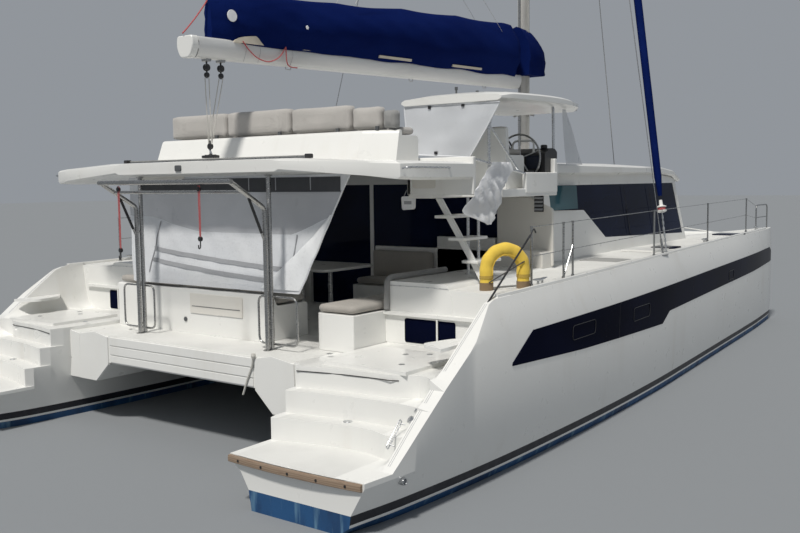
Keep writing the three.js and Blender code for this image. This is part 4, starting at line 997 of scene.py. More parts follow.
def bridge():
    """The aft beam's grooved face and its end blocks, and the cockpit's non-slip sole."""
    form = Form()
    for low, high in ((0.835, 0.925), (0.935, 1.045), (1.055, 1.160)):
        form.box((AFT_BEAM_X - 0.014, AFT_BEAM_X + 0.01), (-1.30, 1.30), (low, high))
    for side in SIDES:
        for outline, proud in ((BEAM_BLOCK, 0.02), (BEAM_REST, 0.012)):
            form.prism("x", [(side * y, z) for y, z in outline], AFT_BEAM_X - proud, AFT_BEAM_X + 0.02)
    form.build("aft_beam_face", [WHITE], bevel=0.006)
    sole = Form()
    for xs, half in (((-6.40, -5.74), 1.9), ((-5.0, -2.62), 1.55)):
        sole.box(xs, (-half, half), (SOLE_Z - 0.01, SOLE_Z + 0.003))
    sole.build("cockpit_sole", [DECK])
    line = Form()
    hung = [(-1.34, 1.21), (-1.30, 1.06), (-1.23, 0.92), (-1.15, 0.73)]
    line.tube([(AFT_BEAM_X - 0.025, y, z) for y, z in hung], 0.012, 10)
    line.turned([(-0.03, 0.02), (0.0, 0.03), (0.03, 0.02)], (AFT_BEAM_X - 0.03, -1.335, 1.19), sides=14)
    line.build("hanging_tail", [PALE_ROPE])


NODE_FINISHES = {
    WHITE: ["bridgedeck", "cabin", "hardtop", "helm_pod", "helm_seat", "aft_bench", "fore_bench",
            "cockpit_table", "lounge_base", "helm_bimini", "engine_lid_starboard", "engine_lid_port",
            "bow_hatch_starboard", "bow_hatch_port", "helm_steps", "fore_beam"],
    PANE: ["cabin_glass_starboard", "cabin_glass_port", "windscreen", "aft_glass", "saloon_door"],
    CUSHION: ["helm_cushion", "aft_cushion", "fore_cushion", "lounge_cushion"],
    STEEL: ["davit_frame", "guard_rail_starboard", "guard_rail_port", "helm_wheel", "shroud_starboard",
            "shroud_port", "forestay"],
    BLACK: ["traveller_track", "traveller_car", "helm_console"],
    SPAR: ["boom", "mast"],
    NAVY: ["sail_bag", "sail_bag_bib", "furled_sail"],
    PALE_ROPE: ["mainsheet"],
    YELLOW: ["lifebuoy"],
    CLEAR: ["helm_curtain"],
    WHITE_CLOTH: ["cockpit_curtain"],
    SILVER: ["helm_cover"],
    MESH_CLOTH: ["net_starboard", "net_port"],
    BRONZE: ["propeller_starboard", "propeller_port"],
    BOTTOM: ["rudder_starboard", "rudder_port"],
}


def finish_nodes():
    """Gives the solids that stay their materials and softens their edges."""
    for material, names in NODE_FINISHES.items():
        for name in names:
            solid = bpy.data.objects[name]
            solid.data.materials.clear()
            solid.data.materials.append(material)
            solid.data.set_sharp_from_angle(angle=math.radians(32))


# Hardtop and what stands on it
HARDTOP = [
    # x, half-width, lower edge z, upper edge z, level top's half-width, top z,
    # level underside's half-width, underside z
    (-6.15, 1.50, 3.260, 3.345, 1.30, 3.370, 1.40, 3.235),
    (-6.06, 2.70, 3.170, 3.320, 1.65, 3.380, 2.20, 3.215),
    (-5.96, 3.02, 3.130, 3.305, 1.65, 3.380, 2.30, 3.210),
    (-5.70, 3.08, 3.120, 3.310, 1.65, 3.380, 2.35, 3.205),
    (-2.60, 3.08, 3.120, 3.315, 1.65, 3.380, 2.60, 3.200),
    (-1.90, 2.75, 3.170, 3.320, 1.62, 3.380, 2.65, 3.200),
    (2.30, 2.62, 3.180, 3.290, 1.50, 3.380, 2.56, 3.200),
    (2.90, 2.60, 3.140, 3.240, 1.40, 3.360, 2.54, 3.160),
    (3.35, 2.54, 3.040, 3.110, 1.20, 3.290, 2.44, 3.060),
    (3.95, 1.50, 3.020, 3.085, 0.70, 3.170, 1.40, 3.040),
]
HELM_WELL_X = (-4.65, -2.56)
HELM_WELL_Y = -2.14
POD_EDGE_Y = -3.08


def roof_ring(x, cut):
    """A section of the hardtop. cut ends it at the helm's well."""
    half, low, edge, flat, top, level, under = straight(HARDTOP, x)
    far = [
        (flat, top), (half - 0.05, edge + 0.008), (half, edge - 0.015), (half, low + 0.03),
        (half - 0.04, low), (level, under),
    ]
    near = [(-y, z) for y, z in far[::-1]]
    if cut:
        surface = top + (edge - top) * (-HELM_WELL_Y - flat) / (half - flat)
        heights = (under, under + 0.03, under + 0.06, surface - 0.03, surface)
        near = [(HELM_WELL_Y, z) for z in heights] + [(-flat, top)]
    return [(x, y, z) for y, z in near + [(0.0, top + 0.004)] + far + [(0.0, under - 0.002)]]


def hardtop():
    """The roof's shell round the helm's well, with its lamp and its grab rails."""
    xs = {row[0] for row in HARDTOP} | {-6.11, -5.83, -5.2, -3.6, -2.25, -1.4, 0.0, 1.2, 2.6, 3.12, 3.65}
    start, end = HELM_WELL_X
    aft = [*sorted(x for x in xs if x < start), start]
    fore = [end, *sorted(x for x in xs if x > end)]
    parts = ((aft, False), ((start, -3.6, end), True), (fore, False))
    form = Form().loft([roof_ring(x, cut) for xs, cut in parts for x in xs])
    form.build("hardtop_shell", [WHITE], bevel=0.012, segments=3, replaces=["hardtop"], merge=True)
    lamp = Form().prism("x", plate((0.16, 3.262), (0.27, 3.335), 0.02), -6.168, -6.12)
    lamp.build("roof_lamp", [DARK_GREY], bevel=0.006)
    rail = Form()
    for side in SIDES:
        wall, held = side * 3.04, side * 3.11
        path = [(-5.95, wall, 3.24), (-5.94, held, 3.25), (-5.16, held, 3.25), (-5.14, side * 3.06, 3.24)]
        rail.tube(eased(path, 0.04), 0.012)
    rail.build("roof_grab_rails", [STEEL])


LOUNGE_BASE = [(-5.4, 3.29), (-5.24, 3.70), (-5.15, 3.70), (-5.14, 3.64), (-4.70, 3.64), (-4.70, 3.29)]


PILLOW_CELL = 0.07
PILLOW_CELLS = 9
PILLOW_TURNS = 8
PILLOW_FLATNESS = 0.86
PILLOW_SAG = 0.006
DIAGONAL = 0.7071


def pillow(form, low, high, bend, crown):
    """A box with soft edges, whose two broad faces swell towards their middles."""
    size = [b - a for a, b in zip(low, high)]
    middle = [(a + b) / 2 for a, b in zip(low, high)]
    thin = min(range(3), key=lambda k: size[k])
    u_axis, v_axis = [k for k in range(3) if k != thin]
    bend = min(bend, size[thin] * 0.48)
    half_u, half_v = size[u_axis] / 2 - bend, size[v_axis] / 2 - bend
    half_w = size[thin] / 2 * PILLOW_FLATNESS
    nu, nv = (max(PILLOW_CELLS, int(size[k] / PILLOW_CELL)) for k in (u_axis, v_axis))

    def place(u, v, w):
        point = [0.0, 0.0, 0.0]
        point[u_axis], point[v_axis], point[thin] = middle[u_axis] + u, middle[v_axis] + v, middle[thin] + w
        return tuple(point)

    # Round the outline: its two shares from -1 to 1, and the way out
    edge = [(-1 + 2 * i / nu, -1, 0, -1) for i in range(nu)]
    edge += [(1, -1 + 2 * i / nv, 1, 0) for i in range(nv)]
    edge += [(1 - 2 * i / nu, 1, 0, 1) for i in range(nu)]
    edge += [(-1, 1 - 2 * i / nv, -1, 0) for i in range(nv)]
    rings = []
    for t in range(PILLOW_TURNS + 1):
        angle = math.pi * t / PILLOW_TURNS - math.pi / 2
        ring = []
        for a, b, out_u, out_v in edge:
            along = min(abs(a), abs(b))
            pinch = 1 - 0.06 * (1 - (2 * along - 1) ** 2) if 6 * (1 - along) < 1 else 1.0
            reach = bend * math.cos(angle) * pinch - PILLOW_SAG * (1 - (a * a if out_v else b * b))
            if abs(abs(a) - 1) < 1e-6 and abs(abs(b) - 1) < 1e-6:
                out_u, out_v = math.copysign(DIAGONAL, a), math.copysign(DIAGONAL, b)
            u, v = half_u * a + out_u * reach, half_v * b + out_v * reach
            ring.append(place(u, v, half_w * math.sin(angle)))
        rings.append(ring)
    first = len(form.points)
    form.loft(rings, caps=False)
    count = len(edge)

    def close(sign, ring_start):
        """Closes one face with a crowned grid whose border is the ring."""
        ids = {}
        for i in range(nu + 1):
            ids[i, 0] = ring_start + i
            ids[nu - i, nv] = ring_start + (nu + nv + i) % count
        for j in range(nv + 1):
            ids[nu, j] = ring_start + nu + j
            ids[0, nv - j] = ring_start + (2 * nu + nv + j) % count
        for i in range(1, nu):
            for j in range(1, nv):
                a, b = -1 + 2 * i / nu, -1 + 2 * j / nv
                rise = half_w + crown * ((1 - a ** 4) * (1 - b ** 4))
                ids[i, j] = len(form.points)
                form.points.append(place(half_u * a, half_v * b, sign * rise))
        cells = [(i, j) for i in range(nu) for j in range(nv)]
        form.faces += [(ids[i, j], ids[i + 1, j], ids[i + 1, j + 1], ids[i, j + 1]) for i, j in cells]
        form.marks += [0] * len(cells)

    close(-1, first)
    close(1, first + PILLOW_TURNS * count)


def cushions(name, boxes, material, replaces=()):
    """Padded cushions in one piece. boxes gives each one's low and high corner, bend and crown."""
    form = Form()
    for low, high, bend, crown in boxes:
        pillow(form, low, high, bend, crown)
    made = form.build(name, [material], angle=80, replaces=replaces)


def lounge():
    """The seats on the roof, with their backs to the boom."""
    form = Form()
    outline = rounded(LOUNGE_BASE, [0.001, 0.05, 0.02, 0.02, 0.05, 0.001])
    form.prism("y", outline, -1.95, 1.60)
    form.loft([
        [(x + shift * max(0.0, -x - 4.9), y, z) for x, z in outline]
        for y, shift in ((-1.95, 0), (-2.35, 0.5))
    ])
    seat = rounded([(-4.71, 1.0), (-3.7, 1.0), (-3.7, 1.60), (-4.71, 1.60)], [0.01, 0.08, 0.08, 0.01])
    form.prism("z", seat, 3.37, 3.64)
    form.build("lounge_moulding", [WHITE], bevel=0.012, replaces=["lounge_base"])
    backs = ((0.45, 1.54, 4.035), (-0.70, 0.435, 4.035), (-1.68, -0.715, 4.02), (-2.13, -1.695, 3.98))
    boxes = [((-5.15, start, 3.712), (-5.0, end, top), 0.045, 0.010) for start, end, top in backs]
    seats = ((-2.31, -0.94), (-0.90, 0.34), (0.38, 1.54))
    boxes += [((-4.985, start, 3.646), (-4.715, end, 3.745), 0.04, 0.012) for start, end in seats]
    boxes.append(((-4.70, 1.02, 3.646), (-3.72, 1.53, 3.745), 0.04, 0.012))
    cushions("lounge_cushions", boxes, PALE_CUSHION, ["lounge_cushion"])
    end_box = ((-5.14, -2.34, 3.712), (-4.99, -2.14, 3.93), 0.045, 0.010)
    cushions("lounge_end_cushion", [end_box], DARK_CUSHION)
    clips = Form()
    for y in (-0.55, -1.50, -2.10, 0.60):
        clips.box((-5.175, -5.145), (y - 0.022, y + 0.022), (3.70, 3.745))
    clips.build("cushion_clips", [DARK_GREY], bevel=0.004)


def traveller():
    """The mainsheet's track across the roof, with its end stops and its car."""
    track = Form()
    foot = ROOF_TOP_Z
    section = [
        (-5.842, 0.0006), (-5.798, 0.0006), (-5.798, 0.010), (-5.808, 0.016), (-5.808, 0.028),
        (-5.802, 0.038), (-5.838, 0.038), (-5.832, 0.028), (-5.832, 0.016), (-5.842, 0.010),
    ]
    track.prism("y", [(x, foot + z) for x, z in section], -1.65, 1.65)
    stop = plate((-5.86, 0.002), (-5.78, 0.052), 0.015)
    for y in (-1.63, 1.63):
        track.prism("y", [(x, foot + z) for x, z in stop], y - 0.03, y + 0.03, 1)
    track.build("track_rail", [DARK_STEEL, BLACK], bevel=0.002, replaces=["traveller_track"])
    car = Form()
    shape = [
        (-5.868, 0.042), (-5.772, 0.042), (-5.772, 0.072), (-5.79, 0.077), (-5.85, 0.077), (-5.868, 0.072),
    ]
    car.prism("y", rounded([(x, foot + z) for x, z in shape], 0.006), -0.11, 0.11)
    screw = [(0, 0.026), (0.006, 0.026)]
    eye = [(0, 0.028), (0.008, 0.026), (0.014, 0.012), (0.040, 0.012)]
    for y, profile in ((-0.07, screw), (0.07, screw), (0, eye)):
        car.turned(profile, (TRACK_X, y, foot + 0.077))
    car.build("track_car", [BLACK], body="traveller", bevel=0.003, replaces=["traveller_car"])


# Boom, bag and mast
def boom_under(x):
    """The height of the boom's underside, which rises a little towards the mast."""
    return 4.79 + (x - GOOSENECK_X) * 0.0225


SHEET_FOOT_Z = 3.49
BAG = [
    # x, half-width at the foot, at the widest, at the crown, height
    (-5.80, 0.050, 0.070, 0.020, 0.50),
    (-5.50, 0.100, 0.150, 0.045, 0.56),
    (-4.50, 0.130, 0.240, 0.070, 0.66),
    (-3.20, 0.135, 0.280, 0.075, 0.72),
    (-1.50, 0.135, 0.300, 0.080, 0.83),
    (1.40, 0.130, 0.280, 0.080, 0.92),
]
BAG_END_XS = (1.46, 1.52, 1.58, 1.64)
BAG_FOLD = 0.036
BAG_WRINKLE = 0.014
BAG_CREASE = 0.016
BIB = [
    # As the bag, and how far the foot is lifted
    (1.74, 0.25, 0.30, 0.08, 0.92, 0.0),
    (2.15, 0.24, 0.28, 0.07, 0.87, 0.0),
    (2.48, 0.18, 0.21, 0.05, 0.68, 0.02),
    (2.66, 0.06, 0.07, 0.02, 0.33, 0.16),
]


def bag_ring(x, foot, widest, crown, height, lift=0.0, lumps=1.0, hang=0.05):
    """A section of the sail cover: full in the middle, with the cloth's folds in its sides."""
    base = boom_under(x) + BOOM_DEPTH + 0.004 + lift
    droop = hang * (1 + 0.7 * noise.noise(Vector((x * 1.4, 0, 0)))) / height
    profile = [
        (foot + 0.022, -droop), (foot + (widest - foot) * 0.55, 0.10), (widest * 0.95, 0.22),
        (widest, 0.36), (widest * 0.97, 0.50), (widest * 0.86, 0.64), (widest * 0.68, 0.77),
        (widest * 0.45, 0.88), (crown, 0.965),
    ]
    height *= 1 - 0.035 * abs(math.sin(math.pi * (x + 0.3) / 1.55))
    placed = []
    for w, h in [*profile, (0.0, 1.0), *((-w, h) for w, h in profile[::-1])]:
        spot = Vector((x * 0.9, w * 5, h * 3.1))
        fold = noise.noise(spot) * BAG_FOLD + noise.noise(spot * 3.1) * BAG_WRINKLE
        wave = math.sin(x * 9 + h * 16 + 3 * noise.noise(Vector((x, 0, h))))
        crease = BAG_CREASE * wave * math.sin(math.pi * h)
        fullness = 0.3 + 0.7 * math.sin(math.pi * min(1, max(0, h)))
        swell = 1 + (fold + crease) / max(widest, 0.1) * lumps * fullness
        placed.append((x, w * swell, base + h * height * (1 + 0.25 * fold * lumps)))
    return placed


def boom():
    """The boom's spar with its end cap, seams and the fittings under it."""
    form = Form()
    xs = span(BOOM_END_X + 0.12, GOOSENECK_X, 10)
    side = [(0.08, 0.0), (0.14, 0.13), (0.125, 0.25)]
    profile = rounded(side + [(-w, h) for w, h in side[::-1]], [0.05, 0.06, 0.03, 0.03, 0.06, 0.05])
    form.loft([[(x, w, boom_under(x) + h) for w, h in profile] for x in xs])
    form.build("boom_spar", [BOOM_PAINT], body="boom", angle=40, replaces=["boom"])
    cap = Form()
    grown = [(w * 1.06, -0.008 + h * 1.05) for w, h in profile]
    ends = ((BOOM_END_X, 0.93), (BOOM_END_X + 0.012, 1.0), (BOOM_END_X + 0.10, 1.0))
    cap.loft([[(x, w * k, boom_under(x) + 0.125 + (h - 0.125) * k) for w, h in grown] for x, k in ends])
    sheave = (BOOM_END_X + 0.07, 0, boom_under(BOOM_END_X) + 0.14)
    cap.turned([(-0.13, 0.055), (0.13, 0.055)], sheave, (0, 1, 0), 18)
    cap.build("boom_end_cap", [WHITE], body="boom", bevel=0.006)
    lines = Form()
    for x in (-5.30, -5.05, -4.45):
        path = [(x, w, boom_under(x) + h) for w, h in ((-0.127, 0.245), (-0.1405, 0.13), (-0.083, 0.002))]
        lines.tube(path, 0.002, 6)
    lines.build("boom_seams", [STRAP], body="boom")
    fittings = Form()
    for x in (-5.84, -5.61):
        z = boom_under(x)
        lug = [(x - 0.03, z - 0.03), (x + 0.03, z - 0.03), (x + 0.045, z + 0.02), (x - 0.045, z + 0.02)]
        fittings.prism("y", rounded(lug, 0.01), -0.05, 0.05)
    for x in (-4.4, -1.6, 0.6):
        z = boom_under(x)
        bail = [(-0.05, 0.01), (-0.05, -0.035), (0.05, -0.035), (0.05, 0.01)]
        fittings.tube(eased([(x + u, 0, z + w) for u, w in bail], 0.03), 0.006, 8)
    fittings.build("boom_bails", [DARK_STEEL], body="boom", bevel=0.004)


def sail_bag():
    """The cover along the boom with its rounded fore end."""
    bag = Form()
    xs = sorted({*span(-5.8, -4.5, 14), *span(-4.5, 1.4, 62)})
    rings = [bag_ring(x, *between(BAG, x)) for x in xs]
    for x in BAG_END_XS:
        share = (GOOSENECK_X + 0.02 - x) / 0.32
        rings.append(bag_ring(x, 0.13 * share, 0.28 * share, 0.08 * share, 0.82 + 0.1 * share, lumps=0.2))
    bag.loft(rings)
    bag.build("sail_bag_cloth", [NAVY], body="boom", angle=60, replaces=["sail_bag"])


def bag_front():
    """The part of the cover that laces round the mast, apart from the rest so that the boom can swing."""
    bib = Form().loft([bag_ring(x, *between(BIB, x), lumps=0.8, hang=0.0) for x in span(1.74, 2.66, 14)])
    bib.build("sail_bag_front", [NAVY], angle=60, replaces=["sail_bag_bib"])


def bag_details():
    """The pale sail that shows under the bag's foot, the bag's plain patches and the loose red lines."""
    sail = Form()
    rings = []
    for t in span(0, 1, 18):
        x = -5.50 + 1.5 * t
        low = boom_under(x) + BOOM_DEPTH - 0.03
        rise = 0.10 * math.sin(math.pi * min(1, t * 1.05)) ** 0.5 + 0.02
        out = 0.145 + 0.02 * math.sin(9 * t)
        rings.append([(x, -out, low), (x, -out, low + rise), (x, -0.05, low + rise + 0.01), (x, -0.05, low)])
    sail.loft(rings)
    for start, end in ((-2.66, -1.85), (-0.70, 0.20)):
        strip = ((-0.20, 0), (-0.205, 0.035), (-0.14, 0.035), (-0.14, 0))
        foot = BOOM_DEPTH - 0.012
        sail.loft([[(x, y, boom_under(x) + foot + z) for y, z in strip] for x in span(start, end, 6)])
    sail.turned([(0, 0.074), (0.006, 0.070)], (-5.55, -0.165, 5.16), (-0.12, -1, 0.05), 28, 1)
    sail.turned([(0, 0.032), (0.006, 0.026)], (-4.29, -0.262, 5.16), (0, -1, 0.1), 5, 1)
    sail.build("sail_edge_and_patches", [CREAM_SAIL, WHITE_CLOTH], body="boom")
    lines = Form().tube(sagging((-6.20, 0, 4.89), (-5.80, 0, 5.33), 0.02), 0.009, 8)
    for points in (
        [(-5.38, 4.87), (-5.28, 4.77), (-5.13, 4.68), (-4.93, 4.65), (-4.73, 4.73), (-4.61, 4.88)],
        [(-4.61, 4.88), (-4.60, 4.66), (-4.52, 4.625), (-4.40, 4.63)],
    ):
        lines.tube(eased([(x, -0.165, z) for x, z in points], 0.08), 0.008, 8)
    lines.build("boom_end_lines", [RED_ROPE], body="boom")


def sheet_and_blocks():
    """The mainsheet's blocks under the boom and its falls to the car."""
    blocks = Form()
    ropes = Form()

    def block(x, z, size=1.0, axis=(0, 1, 0)):
        across = Vector(axis)
        spot = Vector((x, 0.0, z))
        cheek = [(0, 0.042 * size), (0.008 * size, 0.042 * size), (0.011 * size, 0.035 * size)]
        for way in (-1, 1):
            blocks.turned(cheek, spot + across * way * 0.014 * size, across * way, 20)
        blocks.turned([(-0.013 * size, 0.036 * size), (0.013 * size, 0.036 * size)], spot, across, 20)
        shank = [spot + Vector((0, 0, rise * size)) for rise in (-0.055, 0.085)]
        blocks.tube(shank, 0.011 * size, 8)

    tops = (-5.84, -5.61)
    for x in tops:
        block(x, boom_under(x) - 0.10)
        block(x, boom_under(x) - 0.19, 0.75)
    block(TRACK_X, SHEET_FOOT_Z + 0.075, 0.85, (1, 0, 0))
    blocks.tube([(TRACK_X, -0.02, SHEET_FOOT_Z - 0.02), (TRACK_X, 0.02, SHEET_FOOT_Z + 0.05)], 0.012, 8, 1)
    for x in tops:
        top = boom_under(x) - 0.22
        for y in (-0.035, 0.035):
            ropes.tube([(x, y, top), (TRACK_X, y * 0.8, SHEET_FOOT_Z + 0.10)], 0.0055, 8)
    blocks.build("sheet_blocks", [BLACK, STEEL], body="boom", replaces=["mainsheet"])
    ropes.build("sheet_falls", [PALE_ROPE], body="boom")


MAST_CHORD = 0.26
MAST_WIDTH = 0.16
# Height, share of the mast's full section there
MAST_LEVELS = ((ROOF_TOP_Z + 0.001, 1), (8.0, 1), (15.0, 1), (20.5, 1), (22.5, 0.7))
# Height, reach to the side, sweep aft
SPREADERS = ((9.2, 1.15, 0.42), (14.6, 0.95, 0.35))
# Off the mast's middle
HALYARDS = ((-0.02, -0.095), (0.03, -0.095), (0.07, -0.088), (-0.02, 0.095), (0.04, 0.095))
LAZY_JACK_XS = (-5.4, -3.2, 0.9)
FORESTAY = ((6.45, 0, 2.235), (2.1386, 0, 20.1))
SHROUD_X = -0.15
SHROUD_Y = 3.59
SHROUD_FOOT_Z = 1.96
SHROUD_HEAD = (0.0894, 19.6)
# Start, end, radius and sides of a turnbuckle's three lengths
TURNBUCKLE = ((0.02, 0.07, 0.011, 10), (0.07, 0.24, 0.018, 12), (0.24, 0.42, 0.011, 10))


def mast():
    """The mast's spar with its spreaders, track, winches and step."""
    form = Form()
    turns = [math.tau * k / 24 for k in range(24)]
    outline = [(MAST_X + MAST_CHORD / 2 * math.cos(a), MAST_WIDTH / 2 * math.sin(a)) for a in turns]
    form.loft([[(MAST_X + (x - MAST_X) * k, y * k, z) for x, y in outline] for z, k in MAST_LEVELS])
    for z, reach, sweep in SPREADERS:
        for side in SIDES:
            root = Vector((MAST_X, side * 0.06, z))
            tip = Vector((MAST_X - sweep, side * reach, z + 0.04))
            arm = []
            for t in (0.0, 0.5, 1.0):
                across = Vector((0.075 - 0.035 * t, 0, 0))
                arm.append(around(root.lerp(tip, t), across, Vector((0, 0, 0.02)), 1, 12))
            form.loft(arm)
    form.build("mast_spar", [SPAR], angle=40, replaces=["mast"])
    parts = Form().box((MAST_X - 0.152, MAST_X - 0.122), (-0.022, 0.022), (3.75, 22.2))
    winch = [(0, 0.055), (0.06, 0.05), (0.07, 0.035), (0.13, 0.06), (0.14, 0.02)]
    for side in SIDES:
        parts.turned(winch, (MAST_X + 0.02, side * 0.075, 4.35), (0, side, 0), 18)
    step = plate((MAST_X - 0.2, -0.16), (MAST_X + 0.2, 0.16), 0.08)
    parts.prism("z", step, ROOF_TOP_Z + 0.001, ROOF_TOP_Z + 0.03)
    parts.build("mast_track_and_winches", [DARK_STEEL], bevel=0.003)


def rigging():
    """The halyards and lazy jacks, the shrouds with their turnbuckles and plates, and the forestay."""
    halyards = Form()
    for x, y in HALYARDS:
        halyards.tube([(MAST_X + x, y, 3.5), (MAST_X + x, y * 1.05, 9.0), (MAST_X + x, y, 22.0)], 0.006, 6)
    halyards.build("halyards", [PALE_ROPE])
    lifts = Form()
    for side in SIDES:
        knot = (-1.6, side * 0.16, 7.6)
        lifts.tube([(MAST_X - 0.42, side * 1.0, 9.2), knot], 0.004, 6)
        for x in LAZY_JACK_XS:
            lifts.tube([knot, (x, side * 0.2, boom_under(x) + 0.95)], 0.0035, 6)
    lifts.build("lazy_jacks", [PALE_ROPE], body="boom")
    for side in SIDES:
        rig = Form()
        foot = Vector((SHROUD_X, side * SHROUD_Y, SHROUD_FOOT_Z))
        head = Vector((MAST_X, side * SHROUD_HEAD[0], SHROUD_HEAD[1]))
        ahead = (head - foot).normalized()
        rig.tube([foot + ahead * 0.28, head], 0.007, 8)
        for start, end, radius, sides in TURNBUCKLE:
            rig.tube([foot + ahead * start, foot + ahead * end], radius, sides)
        y0, y1 = side * SHROUD_Y - 0.045, side * SHROUD_Y + 0.045
        deck = deck_z(SHROUD_X)
        rig.prism("z", plate((SHROUD_X - 0.12, y0), (SHROUD_X + 0.12, y1), 0.02), deck + 0.001, deck + 0.012)
        rig.tube([(SHROUD_X, side * SHROUD_Y, deck), foot + ahead * 0.04], 0.016, 10)
        rig.build(f"cap_shroud_{named(side)}", [DARK_STEEL], replaces=[f"shroud_{named(side)}"])
    stay = Form()
    foot, head = (Vector(spot) for spot in FORESTAY)
    stay.tube([foot, head], 0.009, 8)
    ahead = (head - foot).normalized()
    stay.tube([foot + ahead * 0.06, foot + ahead * 0.32], 0.02)
    stay.build("forestay_wire", [DARK_STEEL], replaces=["forestay"])


FURL_TACK = (0.01, -3.58, 2.0)
FURL_HEAD = (2.15, -0.056, 22.46)
# The roll's radius at shares of the way from tack to head
ROLL = [(0.041, 0.030), (0.055, 0.055), (0.5, 0.078), (0.97, 0.040)]


def furled_sail():
    """The light sail rolled on its own furler at the starboard side."""
    tack, head = Vector(FURL_TACK), Vector(FURL_HEAD)
    length = (head - tack).length
    ahead = (head - tack).normalized()
    steps = [0.041, 0.048, 0.055, 0.07] + span(0.09, 0.97, 70)
    radii = [straight(ROLL, t)[0] * (1 + 0.05 * noise.noise(Vector((0, 0, t * 40)))) for t in steps]
    roll = Form().tube([tack + ahead * length * t for t in steps], None, 18, 0, radii)
    roll.build("furled_light_sail", [NAVY], angle=60, replaces=["furled_sail"])
    gear = Form().tube([tack, tack + ahead * 0.62], 0.008, 8)
    gear.tube([tack + ahead * 20.0, head], 0.008, 8)
    drum = [
        (0, 0.045), (0.015, 0.075), (0.03, 0.075), (0.035, 0.05), (0.075, 0.05), (0.08, 0.075),
        (0.095, 0.075), (0.11, 0.03), (0.19, 0.024),
    ]
    gear.turned(drum, tack + ahead * 0.60, ahead, 24, 1)
    link = [(0, 0.016), (0.05, 0.016), (0.055, 0.009), (0.085, 0.009)]
    for k in range(6):
        gear.turned(link, tack + ahead * (0.06 + 0.088 * k), ahead, 12)
    gear.build("furler_drum_and_link", [STEEL, WHITE], bevel=0.002)
    line = Form()
    side = ahead.orthogonal().normalized()
    for k in range(4):
        ring = around(tack + ahead * (0.642 + 0.009 * k), side, ahead.cross(side), 0.055, 24)
        line.tube(ring + ring[:1], 0.005, 6)
    line.build("furler_line", [RED_ROPE])


# Helm station
HELM_FLOOR_Z = 3.0
HELM_FLOOR_TOP_Z = 3.001
HELM_RAIL_Y = -3.064
POST_X = -3.97
POST_FOOT_Z = 1.951
# Each tread's y and top
HELM_TREADS = [(-2.60, 2.70), (-2.79, 2.44), (-2.98, 2.18)]


def helm_pod():
    """The pod beside the roof with its walls, coaming, floor and recess."""
    form = Form()
    x0, x1, y0, y1 = *HELM_WELL_X, POD_EDGE_Y, HELM_WELL_Y
    wall = 0.06
    walls = (2.94, ROOF_TOP_Z)
    form.box((x0, x0 + wall), (y0, y1), walls)
    form.box((x0, x1), (y1 - wall, y1), walls)
    form.box((x1 - wall, x1), (y0 + 0.02, y1), walls)
    form.prism("z", plate((-3.42, y0), (x1, y0 + wall), [0.02, 0.05, 0.02, 0.02]), 2.94, 3.20)
    inset = 0.01
    form.box((-3.99, x1 - inset), (y0 + inset, y1 - inset), (2.90, HELM_FLOOR_Z))
    form.box((x0 + inset, -3.98), (-2.5, y1 - inset), (2.90, HELM_FLOOR_Z))
    form.build("helm_pod_moulding", [WHITE], bevel=0.014, segments=3, replaces=["helm_pod"])
    inside = Form().prism("x", plate((-2.56, 3.02), (-2.22, 3.30), 0.04), x0 - 0.004, x0 + 0.01)
    inside.build("helm_pod_recess", [LINER], bevel=0.004)


def helm_station():
    """The helm's seat, console, displays and small instruments."""
    seat = Form()
    profile = [
        (-3.58, HELM_FLOOR_TOP_Z), (-3.12, HELM_FLOOR_TOP_Z), (-3.12, 3.42), (-3.49, 3.42),
        (-3.52, 3.76), (-3.58, 3.76),
    ]
    seat.prism("y", rounded(profile, [0.001, 0.001, 0.05, 0.02, 0.03, 0.03]), -2.88, -2.23)
    seat.build("helm_bench_moulding", [WHITE], bevel=0.012, replaces=["helm_seat"])
    boxes = [
        ((-3.485, -2.85, 3.425), (-3.13, -2.26, 3.50), 0.035, 0.010),
        ((-3.515, -2.84, 3.51), (-3.42, -2.27, 3.78), 0.04, 0.010),
    ]
    cushions("helm_bench_cushions", boxes, CUSHION, ["helm_cushion"])
    console = Form()
    profile = [
        (-2.78, HELM_FLOOR_TOP_Z), (-2.621, HELM_FLOOR_TOP_Z), (-2.621, 3.381), (-2.44, 3.381),
        (-2.44, 3.47), (-2.50, 3.51), (-2.62, 3.52), (-2.78, 3.45),
    ]
    bends = [0.001, 0.001, 0.01, 0.01, 0.02, 0.02, 0.03, 0.03]
    console.prism("y", rounded(profile, bends), -3.0, -2.4)
    console.build("helm_console_moulding", [BLACK], bevel=0.012, replaces=["helm_console"])
    dash = Form()
    for y, wide, low, high in ((-2.83, 0.10, 3.25, 3.42), (-2.56, 0.11, 3.27, 3.42)):
        dash.prism("x", plate((y - wide, low), (y + wide, high), 0.015), -2.790, -2.775)
    dash.build("helm_displays", [DISPLAY], bevel=0.002)
    gear = Form().turned([(0, 0.045), (0.04, 0.045), (0.05, 0.03)], (-2.62, -2.9, 3.515), sides=18)
    for y in (-2.47, -2.43):
        gear.tube(eased([(-2.70, y, 3.50), (-2.74, y, 3.58), (-2.80, y, 3.62)], 0.03), 0.012, 10)
    gear.prism("z", plate((-3.38, -3.07), (-3.20, -3.03), 0.01), 3.20, 3.22)
    gear.build("helm_instruments", [BLACK], bevel=0.004)


WINCHES = ((-2.36, -2.02), (-2.30, -1.72), (-1.85, -1.95))
CLUTCHES = 5
CLUTCH_PITCH = 0.055


